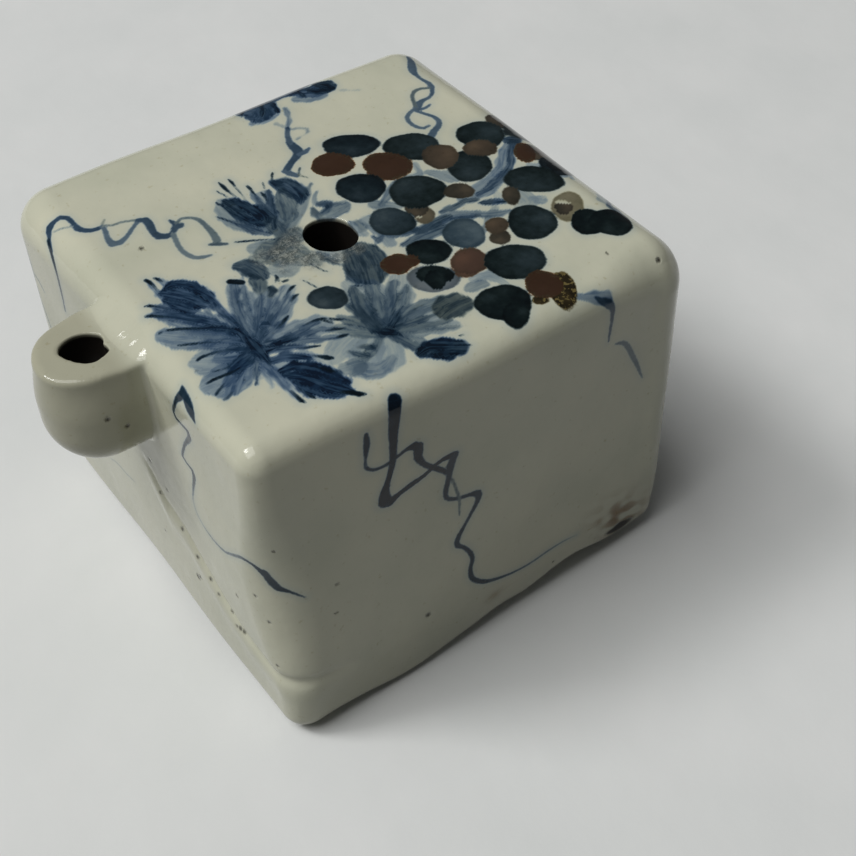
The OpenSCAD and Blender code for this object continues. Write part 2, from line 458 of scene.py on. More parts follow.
def stub_ring(count):
    """Points round the stub's section near its root, as (y, z), and the way out from each."""
    ring, ways = [], []
    side = LIP_Z - LIP_ROUND - STUB_Z
    flat = SPOUT_R - LIP_ROUND
    corner = LIP_ROUND * math.pi / 2
    lengths = [math.pi * SPOUT_R, side, corner, 2 * flat, corner, side]
    whole = sum(lengths)
    for k in range(count):
        s = whole * k / count
        part = 0
        while s > lengths[part]:
            s -= lengths[part]
            part += 1
        if part == 0:
            a = math.pi + s / SPOUT_R
            way = (math.cos(a), math.sin(a))
            y, z = SPOUT_R * way[0], STUB_Z + SPOUT_R * way[1]
        elif part in (1, 5):
            sign = 1 if part == 1 else -1
            z = STUB_Z + (s if part == 1 else side - s)
            y, way = sign * SPOUT_R, (sign, 0)
        elif part in (2, 4):
            a = s / LIP_ROUND + (0 if part == 2 else math.pi / 2)
            centre = flat if part == 2 else -flat
            y, z = centre + LIP_ROUND * math.cos(a), LIP_Z - LIP_ROUND + LIP_ROUND * math.sin(a)
            way = (math.cos(a), math.sin(a))
        else:
            y, z, way = flat - s, LIP_Z, (0, 1)
        ring.append(Vector((y, z)))
        ways.append(Vector(way))
    return ring, ways


def make_root(skin, stub, count=200, steps=22):
    """The clay worked into the angle round the spout's root, hollow on its outside: its lines leave
    the stub along it and meet the wall along it."""
    rings = [[] for _ in range(steps + 4)]
    for (y, z), way in zip(*stub_ring(count)):
        upper = max(way.y, 0) * (1 - min(abs(y) / SPOUT_R, 1) ** 2)
        reach = ROOT_REACH[0] + upper * (ROOT_REACH[1] - ROOT_REACH[0])
        spread = ROOT_SPREAD[0] + upper * (ROOT_SPREAD[1] - ROOT_SPREAD[0])
        out = Vector((0, way.x, way.y))
        start = stub.find_nearest(Vector((ROOT_X - reach, y, z)))[0] - out * 0.02 * MM
        corner, facing, _, _ = skin.ray_cast(start, Vector((1, 0, 0)))
        along = (out - facing * out.dot(facing)).normalized()
        end, facing, _, _ = skin.find_nearest(corner + along * spread)
        end -= facing * 0.02 * MM
        corner = start + Vector(((end - start).dot(facing) / facing.x, 0, 0))
        for i in range(steps + 1):
            t = i / steps
            rings[i].append(start * (1 - t) ** 2 + corner * 2 * t * (1 - t) + end * t * t)
        rings[steps + 1].append(end - facing * 0.5 * MM)
        rings[steps + 2].append(corner + Vector((0.5 * MM, 0, 0)) - out * 1.0 * MM)
        rings[steps + 3].append(Vector((start.x + 0.01 * MM, y * 0.9, STUB_Z + (z - STUB_Z) * 0.93)))
    places = [p for ring in rings for p in ring]
    faces = []
    for i in range(len(rings)):
        j = (i + 1) % len(rings)
        for k in range(count):
            n = (k + 1) % count
            faces.append([i * count + k, i * count + n, j * count + n, j * count + k])
    root = add_mesh("spout_root", places, faces)
    bm = bmesh.new()
    bm.from_mesh(root.data)
    bmesh.ops.recalc_face_normals(bm, faces=bm.faces)
    for edge in bm.edges:
        edge.smooth = edge.calc_face_angle(0) < math.radians(40)
    bm.to_mesh(root.data)
    bm.free()
    return root


def drill_channel(pieces):
    """Cuts the mouth's narrow bend and the channel through the wall to the chamber."""
    radius = MOUTH_R * 0.88
    bend = Vector((MOUTH.x, 0, MOUTH.z - FEED_DROP))
    bpy.ops.object.select_all(action="DESELECT")
    bpy.ops.mesh.primitive_cylinder_add(radius=radius, depth=7 * MM, vertices=48,
                                        location=bend + Vector((0, 0, 3.5 * MM)))
    upright = bpy.context.object
    length = ROOT_X + WALL_T + 2 * MM - MOUTH.x
    bpy.ops.mesh.primitive_cylinder_add(radius=radius * 0.99, depth=length, vertices=48,
                                        rotation=(0, math.pi / 2, 0),
                                        location=bend + Vector((length / 2 - radius / 2, 0, 0)))
    level = bpy.context.object
    for cutter in (upright, level):
        drill(pieces, cutter)


# Decoration. Every stroke was read from the photograph, in mm on one of these planes:
# "top" x and y, "front" x and z, "left" -y and z; "back" x and z and "right" y and z weren't
# seen, and their strokes carry the plant on from the edges.
READING_PLANES = {
    "top": lambda u, v: (u, v, 51.1),
    "front": lambda u, v: (u, -31.9 - 1.6 * (1 - v / 51), v),
    "left": lambda u, v: (-33.0, -u, v),
    "back": lambda u, v: (u, 32.0, v),
    "right": lambda u, v: (33.0, u, v),
}
SEEN_PLANES = ("top", "front", "left")

# Washes on the top, which show the brush's hairs: cobalt, iron, then points of place and width.
# A fourth number at a point is the share of pigment left in the brush there. Later ones lie over.
LEAF_BY_SPOUT = [
    (0.44, 0.08, [(-27.6, -2.3, 2.8), (-25.8, -5.8, 4.3), (-23.4, -10, 4.3), (-22.3, -13.3, 2.6)]),
    (0.44, 0.09, [(-29.6, -6.1, 2.6), (-27.8, -8, 4.1), (-24.6, -10.4, 4.1), (-22.6, -13, 2.5)]),
    (0.38, 0.09, [(-28.2, -12.6, 3.6, 0.8), (-26.5, -13.6, 5.7), (-23.8, -14.2, 4.1)]),
    (0.4, 0.07, [(-29.5, -16.6, 2.8), (-27.5, -16.8, 5.4), (-24.6, -15.6, 3.7)]),
    (0.4, 0.12, [(-18.6, -3.4, 2.2), (-19.5, -6.8, 3.7), (-21, -11.8, 3.2)]),
    (0.38, 0.12, [(-16.4, -6.6, 3, 0.8), (-18.4, -9.8, 3.9), (-21, -12.9, 3)]),
    (0.34, 0.12, [(-13.8, -7.7, 2.2, 0.7), (-17.2, -10.7, 3.6), (-20.2, -13.1, 2.2)]),
    (0.38, 0.12, [(-14.1, -15.2, 3.6, 0.8), (-17.2, -15, 4.4), (-20.2, -14.8, 3.3)]),
    (0.3, 0.07, [(-21.9, -18.3, 3.9), (-19.6, -19.4, 4.4), (-17.8, -21.4, 2.5, 0.7)]),
    (0.28, 0.12, [(-23.2, -16, 2.1), (-24.6, -18, 2.1, 0.8)]),
    (0.58, 0.03, [(-28.5, -0.4, 0.8), (-27.1, -2.3, 1.8), (-25.4, -5.7, 2.3), (-23.2, -9.5, 1.7),
          (-22.3, -13.3, 1.3)]),
    (0.63, 0.03, [(-29.5, -1.9, 0.9), (-27.5, -3.3, 1.9), (-25.4, -5.7, 1.9), (-23.5, -8.6, 1.4),
          (-22.3, -12.6, 1.1)]),
    (0.52, 0.03, [(-28.2, -1.8, 1.2, 0.7), (-26.6, -4.1, 2.6), (-24.9, -6.8, 2.1),
          (-23.1, -10.2, 1.6)]),
    (0.56, 0.03, [(-26.5, 3.9, 0.5), (-26.6, 1.6, 0.9), (-26.4, -0.5, 1.3), (-25.6, -2.3, 1.4)]),
    (0.5, 0.03, [(-25.4, 3.6, 0.5), (-25.1, 2.2, 1), (-24.9, 0.5, 1.2)]),
    (0.9, 0.048, [(-25.4, 1.2, 0.9), (-24.3, 1.2, 1.7), (-23.1, 0.3, 1.9), (-22.3, -1.6, 1.9),
          (-21.9, -3.6, 1.3), (-21.9, -5.8, 0.5, 0.7)]),
    (0.85, 0.048, [(-26.2, 0.7, 0.9), (-25.3, -0.1, 2.8), (-24.1, -2, 3.3), (-23.2, -3.9, 2.3),
          (-22.5, -5, 0.5, 0.6)]),
    (0.87, 0.048, [(-26.7, -0.6, 0.8), (-25.9, -2.1, 1.8), (-25, -3.6, 2.2), (-24.3, -4.7, 0.8, 0.7)]),
    (0.7, 0.096, [(-22.9, -3, 0.5), (-22.5, -5.7, 1), (-22.1, -8.5, 1), (-22.1, -11.4, 1.1)]),
    (0.63, 0.03, [(-22, -3.7, 0.4), (-21.8, -6.9, 0.9), (-21.9, -10.4, 0.9)]),
    (0.45, 0.12, [(-23.9, -4.1, 0.7), (-23.4, -5, 1), (-23.5, -6.6, 0.6)]),
    (0.78, 0.14, [(-27, -6.7, 0.8), (-25.2, -7.8, 0.9), (-23.5, -9, 1.1), (-22.5, -10.7, 1.3),
          (-22.3, -13.3, 0.9)]),
    (0.58, 0.03, [(-26.8, -7.5, 0.5, 0.6), (-24.7, -9.1, 1.1), (-23.1, -10.9, 1.4)]),
    (0.63, 0.06, [(-27.8, -9.2, 0.5), (-25.8, -10.3, 1.1), (-23.9, -11.5, 1.3), (-22.6, -13.4, 1.3)]),
    (0.5, 0.03, [(-28.3, -9.3, 0.6, 0.7), (-26.5, -10.7, 1.2), (-23.9, -12.2, 1.5)]),
    (0.68, 0.096, [(-26.8, -12, 0.9), (-25, -12.6, 1.3), (-23.1, -13.7, 1.4)]),
    (0.5, 0.015, [(-26.6, -13.2, 1.8), (-25.1, -14.1, 2.6), (-23.3, -14.5, 2.2)]),
    (0.45, 0.03, [(-27.2, -14.1, 1, 0.6), (-25.8, -14.7, 1.9), (-24.2, -14.9, 1.9)]),
    (0.63, 0.03, [(-26.7, -15.1, 0.4), (-25.5, -15.2, 1), (-23.8, -14.9, 1.3)]),
    (0.78, 0.048, [(-27, -16, 0.8), (-25.8, -15.7, 1.8), (-24.2, -15.3, 2.3), (-23, -14.8, 1.5)]),
    (0.52, 0, [(-28.8, -17.5, 0.6), (-27.1, -16.8, 1.8), (-24.8, -15.5, 1.8)]),
    (0.5, 0, [(-29.1, -19.1, 1, 0.8), (-27.9, -18.1, 1.2), (-26.2, -16.8, 1.2), (-24.4, -15.5, 1.1)]),
    (0.52, 0, [(-27.9, -19.1, 1, 0.9), (-26.6, -17.8, 1.2), (-25.1, -16.3, 1.2)]),
    (0.47, 0.03, [(-26, -18.5, 0.9, 0.6), (-25.2, -17.2, 1.1), (-24.1, -15.7, 1.2)]),
    (0.7, 0.048, [(-27.3, -18.2, 0.4), (-26.7, -17.4, 0.5), (-25.7, -16.2, 0.9)]),
    (0.5, 0.15, [(-25.2, -19.2, 0.5), (-24.4, -17.8, 0.9), (-23.3, -16.3, 1)]),
    (0.5, 0, [(-24.2, -20.8, 0.5, 0.4), (-23.5, -19.1, 1, 0.8), (-23, -16.8, 1.2)]),
    (0.56, 0, [(-22.9, -24.1, 0.5), (-22.9, -21.8, 1), (-22.8, -19.3, 1.3), (-22.7, -17, 1.1)]),
    (0.45, 0, [(-22.1, -23.3, 0.6, 0.6), (-22.3, -20.9, 1), (-22.5, -18.5, 1.1)]),
    (0.97, 0.072, [(-21.9, -19.2, 0.8), (-20.3, -19.5, 1.8), (-18.8, -20.9, 2.2), (-17.8, -23, 2.2),
          (-16.8, -25.2, 1.1), (-16.7, -26, 0.3)]),
    (0.97, 0.072, [(-21.9, -20, 1.1), (-20.2, -21.7, 2.8), (-18.9, -24, 3.1), (-17.8, -25.8, 2.2),
          (-17.2, -26.7, 0.5)]),
    (0.93, 0.048, [(-21.7, -21.6, 0.8), (-20.9, -23.5, 1.7), (-19.9, -25.2, 1.7), (-18.6, -26.5, 1)]),
    (0.83, 0.048, [(-22.3, -22.3, 0.3, 0.7), (-21.6, -23.9, 0.9), (-21, -25.3, 0.3, 0.7)]),
    (0.81, 0.048, [(-22.3, -17, 0.9), (-20.7, -17.4, 1.7), (-19.4, -18.1, 1.5), (-18.4, -19.3, 1.1),
          (-17.9, -19.9, 0.4, 0.6)]),
    (0.5, 0, [(-18.4, -18.9, 0.6, 0.7), (-17.2, -19.5, 0.6), (-16.9, -20, 0.9)]),
    (0.63, 0.06, [(-21.6, -15.3, 1.5), (-19.9, -16.1, 1.7), (-18.3, -17, 1.1), (-16.8, -17.9, 0.5)]),
    (0.74, 0.14, [(-21.1, -14.8, 1.1), (-19, -15.4, 1), (-16.7, -15.7, 0.5), (-15.8, -15.7, 0.4, 0.6)]),
    (0.63, 0.15, [(-20.7, -14.5, 1.5), (-18.5, -15, 1.5), (-16.3, -15, 1.3), (-14, -14.6, 0.9)]),
    (0.56, 0.15, [(-20.5, -14.9, 1.1), (-17.4, -15.4, 1.3), (-15, -15.9, 1.1), (-13, -17, 0.8)]),
    (0.5, 0.15, [(-20.3, -15.6, 1.1), (-17.2, -16.4, 1.5), (-15, -17.6, 1.1), (-13.1, -18.5, 0.6)]),
    (0.47, 0.15, [(-19.3, -14.8, 0.9, 0.7), (-16.2, -14.3, 1.2), (-14.6, -14.5, 0.9, 0.6)]),
    (0.56, 0.12, [(-20.4, -13.3, 1), (-18.7, -12.8, 1.4), (-17, -12.1, 1)]),
    (0.56, 0.14, [(-18.3, -2.9, 1.4), (-19.5, -5, 1.5), (-20.7, -8.1, 1.4), (-21.5, -11.1, 1.3),
          (-21.9, -13.2, 1)]),
    (0.54, 0.14, [(-17, -2.7, 0.5, 0.6), (-18.5, -5.7, 0.8), (-19.6, -8.6, 0.8), (-20.7, -11.3, 0.8)]),
    (0.63, 0.06, [(-18.9, -6.9, 0.3, 0.7), (-19.3, -8.4, 0.5), (-19.6, -9.3, 0.3, 0.7)]),
    (0.52, 0.15, [(-16.9, -6.6, 0.9), (-18.6, -9, 1.5), (-20.3, -11.3, 1.2), (-21.8, -13.3, 1.1)]),
    (0.48, 0.14, [(-15.9, -6.9, 0.9, 0.8), (-17.8, -9.6, 1.1), (-19.8, -11.7, 1.1), (-21.4, -13.3, 1)]),
    (0.68, 0.048, [(-19.9, -11.1, 0.5, 0.7), (-19.2, -11.4, 1.5), (-18.6, -12, 0.5, 0.7)]),
    (0.5, 0.15, [(-13.2, -7.6, 0.6), (-15.6, -9.4, 1), (-18.4, -11.3, 1.1), (-21, -13.2, 1)]),
    (0.45, 0.15, [(-13.7, -9.3, 1), (-16.2, -10.7, 1.1), (-18.6, -11.9, 1.2)]),
    (0.5, 0.15, [(-13.8, -7, 0.6, 0.7), (-16.4, -9.1, 0.9), (-18.3, -10.7, 0.9)]),
    (0.97, 0.14, [(-22.1, -11, 0.5, 0.7), (-22.2, -13, 1.4), (-22.3, -14.6, 1.9), (-22.3, -16.4, 1.1),
          (-22.4, -17.8, 0.3, 0.8)]),
    (0.85, 0.14, [(-23.2, -14, 1, 0.8), (-22.4, -14.8, 1.9), (-21, -15.3, 1.4),
          (-19.7, -15.7, 0.5, 0.6)]),
    (0.74, 0.096, [(-23.8, -14.2, 1, 0.7), (-23.2, -15.3, 2.2), (-22.9, -16.3, 1.3, 0.8)]),
]
LEAF_BY_HOLE = [
    (0.38, 0.22, [(-11.3, 11.4, 2.5, 0.8), (-10.8, 8.2, 5.4), (-9.3, 5.4, 5.2), (-8.7, 2.8, 2.5)]),
    (0.36, 0.22, [(-6.2, 9.9, 2.2, 0.7), (-7, 7, 3.6), (-8.2, 3.5, 3.4)]),
    (0.83, 0.21, [(-10.7, 11.8, 1.3), (-10.3, 10.1, 3.1), (-9.7, 7.9, 3.9), (-9.1, 6.2, 3.8),
          (-9, 4.7, 1.4, 0.7)]),
    (0.95, 0.17, [(-9.7, 11.3, 0.9, 0.8), (-9.3, 9.9, 1.8), (-8.8, 7.8, 1.9), (-8.6, 6, 1.7),
          (-9.1, 4.7, 0.4, 0.7)]),
    (0.9, 0.14, [(-10.9, 7.7, 0.5, 0.6), (-10, 6.3, 1.4), (-9.3, 4.9, 1.1)]),
    (0.68, 0.26, [(-10.9, 11.9, 0.8), (-10.9, 11.1, 1.8), (-10.9, 9.1, 1.8, 0.6)]),
    (0.56, 0.2, [(-12.3, 7.7, 0.5), (-11.6, 6.1, 1.3), (-11, 4.2, 1.5), (-9.8, 2.6, 1.1)]),
    (0.46, 0.2, [(-11.2, 7.4, 0.6, 0.7), (-10.4, 5.2, 1.6), (-9.4, 3.1, 1.2)]),
    (0.5, 0.16, [(-7, 11.6, 0.5, 0.8), (-7.3, 9.9, 1.2), (-7.8, 7.3, 1.1), (-8.5, 4.9, 1)]),
    (0.65, 0.17, [(-7, 9.6, 0.4, 0.7), (-7.4, 7.9, 0.9), (-8.3, 5.2, 1)]),
    (0.72, 0.19, [(-5.1, 10.2, 1), (-6.5, 7.8, 1.5), (-7.7, 5.4, 1.4), (-8.6, 3.3, 0.8)]),
    (0.85, 0.23, [(-3.7, 11.5, 1.4), (-3.5, 10.7, 1.9), (-3.9, 9.6, 1.3, 0.8)]),
    (0.83, 0.23, [(-3.2, 11.4, 1.1), (-2.6, 10.1, 2.9), (-2.3, 8.1, 3.1), (-2.6, 6.4, 1.7),
          (-3.3, 5.4, 0.4, 0.7)]),
    (0.52, 0.35, [(-3.9, 9.3, 1.5), (-4.8, 6.6, 2.9), (-5.7, 4.4, 2.5), (-6.9, 3.1, 1, 0.7)]),
    (0.43, 0.32, [(-3.7, 11.8, 1, 0.7), (-2.1, 11, 1.4), (-1.3, 9.1, 1.1, 0.7)]),
    (0.74, 0.19, [(-6.8, 6.6, 0.4), (-6.6, 5.9, 0.8), (-6.5, 5.3, 0.3, 0.7)]),
    (0.49, 0.32, [(0.1, 8.3, 0.5, 0.9), (-0.9, 7.4, 0.9, 0.8), (-2.6, 5.7, 1.5, 0.7),
          (-4.9, 3.9, 2, 0.7), (-7.4, 2.4, 2.1)]),
    (0.46, 0.25, [(-0.2, 6.4, 0.5), (-1.2, 5.3, 0.9, 0.8), (-2.1, 4.3, 0.5, 0.6)]),
    (0.52, 0.38, [(-8.3, 5.2, 1.5, 0.8), (-8.4, 3.7, 2.5), (-8.7, 2, 2)]),
    (0.43, 0.44, [(-8.1, 1.3, 2.3), (-7.7, 0.5, 3.6), (-7.6, -0.4, 1.8, 0.7)]),
    (0.65, 0.23, [(-1.4, 4, 1.3), (-0.6, 3.6, 1.7), (-0.7, 2.7, 1), (-1.9, 2.2, 1.1, 0.8)]),
    (0.56, 0.38, [(-2.5, 3.8, 1), (-2.8, 2.6, 1.3), (-3, 1.3, 1.1, 0.7)]),
    (0.5, 0.32, [(-0.7, 3, 0.9), (0.4, 2.7, 0.6), (1.7, 2.7, 0.5)]),
    (0.49, 0.26, [(-2.2, 1.8, 2, 0.7), (-0.6, 1.7, 3.1), (1, 1.7, 2)]),
]
ROUND_THE_HOLE = [
    (0.4, 0.26, [(-12.9, 1.4, 2.1, 0.8), (-11.2, 0.1, 3.7), (-9.9, -1.1, 3.3)]),
    (0.44, 0.47, [(-13.2, -0.4, 1.5, 0.8), (-11, -0.3, 4.4), (-9.8, -2, 4.6), (-8.8, -4.1, 3),
          (-8, -5.9, 1.1, 0.7)]),
    (0.56, 0.47, [(-12.8, -1.4, 0.8, 0.8), (-11.3, -0.9, 2), (-9.2, 0, 2.1), (-7, 1.3, 1.4, 0.7)]),
    (0.4, 0.54, [(-8.1, 1.2, 1.5), (-7.8, 0.4, 2.4), (-8, -0.8, 1.1, 0.7)]),
    (0.44, 0.43, [(-14, -0.3, 1.4, 0.7), (-12.5, -1.4, 2.3), (-11.6, -3.2, 1.8)]),
    (0.34, 0.26, [(-13.3, -3.3, 1.6, 0.7), (-12.1, -4.5, 3), (-10.7, -4.4, 1.8, 0.7)]),
    (0.64, 0.4, [(-6.9, -4.3, 0.9), (-6.7, -5.5, 1.4), (-6.3, -7, 1.1), (-5.9, -7.9, 0.5, 0.7)]),
    (0.28, 0.2, [(-6.5, -3.7, 1.4, 0.7), (-5.3, -5.3, 2.3), (-4.3, -7.5, 2.4)]),
    (0.7, 0.36, [(-16.1, -0.4, 2), (-15.5, -1.1, 3), (-15, -2.6, 3.1), (-14.9, -4, 1.5)]),
    (0.62, 0.4, [(-15.8, -3.3, 1.4, 0.8), (-16, -4.7, 2.4), (-16.8, -6.3, 1, 0.6)]),
    (0.69, 0.47, [(-15.2, -6.2, 0.8), (-15.2, -7, 1.1), (-15.9, -7.5, 0.8, 0.8)]),
    (0.7, 0.5, [(-2.6, -5.9, 2.4), (-2.8, -7.5, 4.8), (-3.3, -9.4, 5.9), (-4, -11, 4.8)]),
    (0.67, 0.36, [(-6, -9.5, 1), (-6, -10.6, 2.1), (-6.3, -11.7, 1.1), (-6.8, -12.2, 0.5, 0.7)]),
    (0.4, 0.32, [(-7.2, -11.8, 0.6), (-6.6, -12.8, 0.9), (-5.4, -12.6, 1)]),
    (0.44, 0.36, [(0.5, -1.9, 0.8), (0.4, -3.3, 1.6), (-0.2, -3.7, 0.8, 0.7)]),
    (0.43, 0.22, [(-0.3, -1.3, 0.8), (-0.4, -2.4, 1.4), (-0.3, -4.3, 1.6, 0.7)]),
]
LEAF_IN_FRONT = [
    (0.35, 0.26, [(-6.9, -11.8, 2.9, 0.7), (-6.8, -14.7, 5.8), (-7.7, -19.3, 4.4)]),
    (0.31, 0.26, [(-2, -14.6, 3.2, 0.8), (-4.6, -17.6, 4.3), (-7.7, -20.4, 3)]),
    (0.31, 0.26, [(0.2, -21.1, 3.2, 0.7), (-3.4, -20.9, 4.7), (-7.6, -20.9, 3)]),
    (0.35, 0.26, [(-1.6, -24.5, 2.2, 0.7), (-4.5, -23.2, 2.8), (-8, -21.5, 2.2)]),
    (0.28, 0.15, [(-11.3, -19.3, 2.9, 0.9), (-13.7, -19.8, 4.4), (-15.8, -20.9, 2.5, 0.8)]),
    (0.28, 0.15, [(-10.1, -20.9, 2.3), (-12.7, -22.8, 4.3), (-14.6, -24.3, 3)]),
    (0.26, 0.15, [(-9.1, -21.7, 2.3), (-10.4, -24.5, 3.7), (-11.6, -25.8, 2.2, 0.8)]),
    (0.59, 0.36, [(-7.3, -12.4, 1.3), (-8.2, -14.9, 2.5), (-8.7, -18.1, 2.5), (-8.8, -20.8, 1.7)]),
    (0.46, 0.32, [(-5, -12.8, 1.8), (-6.5, -15.8, 2.8), (-7.7, -18.5, 2.5), (-8.5, -20.8, 1.6)]),
    (0.67, 0.27, [(-6.3, -13.5, 0.3, 0.7), (-7, -15.8, 0.5), (-7.8, -18, 0.5), (-8.4, -20.3, 0.5)]),
    (0.57, 0.36, [(-9.5, -13.3, 0.8, 0.8), (-9.3, -16.1, 1.4), (-8.9, -18.4, 1.5), (-8.8, -20.8, 1.3)]),
    (0.48, 0.29, [(-2.9, -14.4, 1.5), (-5, -16.9, 1.8), (-7.4, -19.5, 1.5)]),
    (0.42, 0.32, [(-1.7, -15.7, 0.7), (-3.5, -17.2, 2.3), (-5.9, -19, 2.3), (-7.8, -20.3, 1.7)]),
    (0.53, 0.32, [(-1.8, -16, 0.3), (-2.7, -17, 0.4), (-3.8, -18.2, 0.3, 0.7)]),
    (0.55, 0.32, [(-2.8, -16.3, 0.3, 0.8), (-4.4, -17.4, 0.5), (-6.2, -18.8, 0.4)]),
    (0.73, 0.24, [(-4.4, -18.4, 0.4), (-5.9, -19.4, 0.9), (-7.6, -20.5, 1)]),
    (0.44, 0.32, [(-0.2, -20.2, 1.5), (-2.2, -20, 2.6), (-4.4, -20.1, 2.6), (-6.9, -20.6, 2)]),
    (0.59, 0.32, [(-1.6, -22, 0.5), (-3.5, -21.8, 1.1), (-5.9, -21.4, 1.3), (-7.7, -21, 1.1)]),
    (0.55, 0.29, [(-3.5, -19.6, 0.4, 0.7), (-5.1, -20, 0.8), (-6.9, -20.6, 0.8)]),
    (0.49, 0.36, [(-1.2, -23.9, 0.6), (-3.5, -23.2, 1.5), (-5.9, -22.2, 1.5), (-7.9, -21.4, 1.2)]),
    (0.44, 0.32, [(-0.9, -25.4, 0.5, 0.8), (-3.2, -24.2, 0.9), (-5.7, -22.9, 1), (-7.9, -21.8, 1)]),
    (0.61, 0.29, [(-7, -26.4, 1.1), (-7.5, -24.4, 1.8), (-8, -22.9, 1.8), (-8.5, -21.5, 1.4)]),
    (0.51, 0.26, [(-6, -24.8, 1, 0.8), (-7.1, -23.1, 1.2), (-8.2, -21.7, 1.1)]),
    (0.55, 0.36, [(-11.5, -15.5, 0.9, 0.8), (-10.6, -17.1, 1.7), (-9.8, -18.9, 1.5), (-9, -20.7, 1.4)]),
    (0.44, 0.36, [(-13, -17, 1.5, 0.8), (-11.8, -18.2, 2.1), (-10.7, -19.5, 2.1), (-9.3, -20.8, 1.8)]),
    (0.44, 0.32, [(-9.8, -21.2, 1), (-11.2, -22.4, 1.5), (-13.2, -23.1, 1.5),
          (-14.2, -23.3, 0.6, 0.7)]),
    (0.67, 0.29, [(-13.9, -21.2, 0.5, 0.8), (-13.3, -22.2, 1), (-12.6, -23.1, 0.9)]),
    (0.61, 0.36, [(-12.8, -21.1, 0.5, 0.8), (-11.9, -21.6, 0.8), (-11.1, -22.3, 0.8)]),
    (0.69, 0.24, [(-11.2, -21.5, 0.4), (-11.2, -22.3, 0.9), (-11.4, -23, 0.4, 0.8)]),
    (0.41, 0.18, [(-14.7, -24.2, 1.9), (-13.7, -25.3, 2.9), (-12.3, -25.7, 2.3),
          (-10.8, -25, 1.7, 0.8)]),
    (0.42, 0.26, [(-15.9, -23.4, 2.2, 0.8), (-14.9, -23.7, 3), (-14.1, -23.6, 1.4, 0.7)]),
    (0.95, 0.27, [(-7.6, -26.2, 1.1), (-6.1, -26, 2.4), (-4.8, -27, 3.3), (-3.5, -27.9, 2.9),
          (-2.8, -28.6, 0.8)]),
    (0.93, 0.27, [(-7.7, -26.7, 0.5, 0.8), (-6.3, -27.5, 1.5), (-4.9, -28.4, 1.7),
          (-3.7, -28.5, 0.9, 0.8)]),
    (0.37, 0.15, [(-5.5, -25.1, 0.6, 0.8), (-4.1, -26, 1), (-3.3, -26.7, 0.6, 0.8)]),
    (0.87, 0.27, [(-9.4, -20.2, 0.9, 0.8), (-8.6, -21, 1.9), (-7.9, -21.8, 0.9, 0.8)]),
    (0.61, 0.65, [(-1.5, -22.4, 1.4), (0.2, -21.9, 4.5), (1.5, -22, 3.3), (2.7, -22.3, 0.8)]),
]
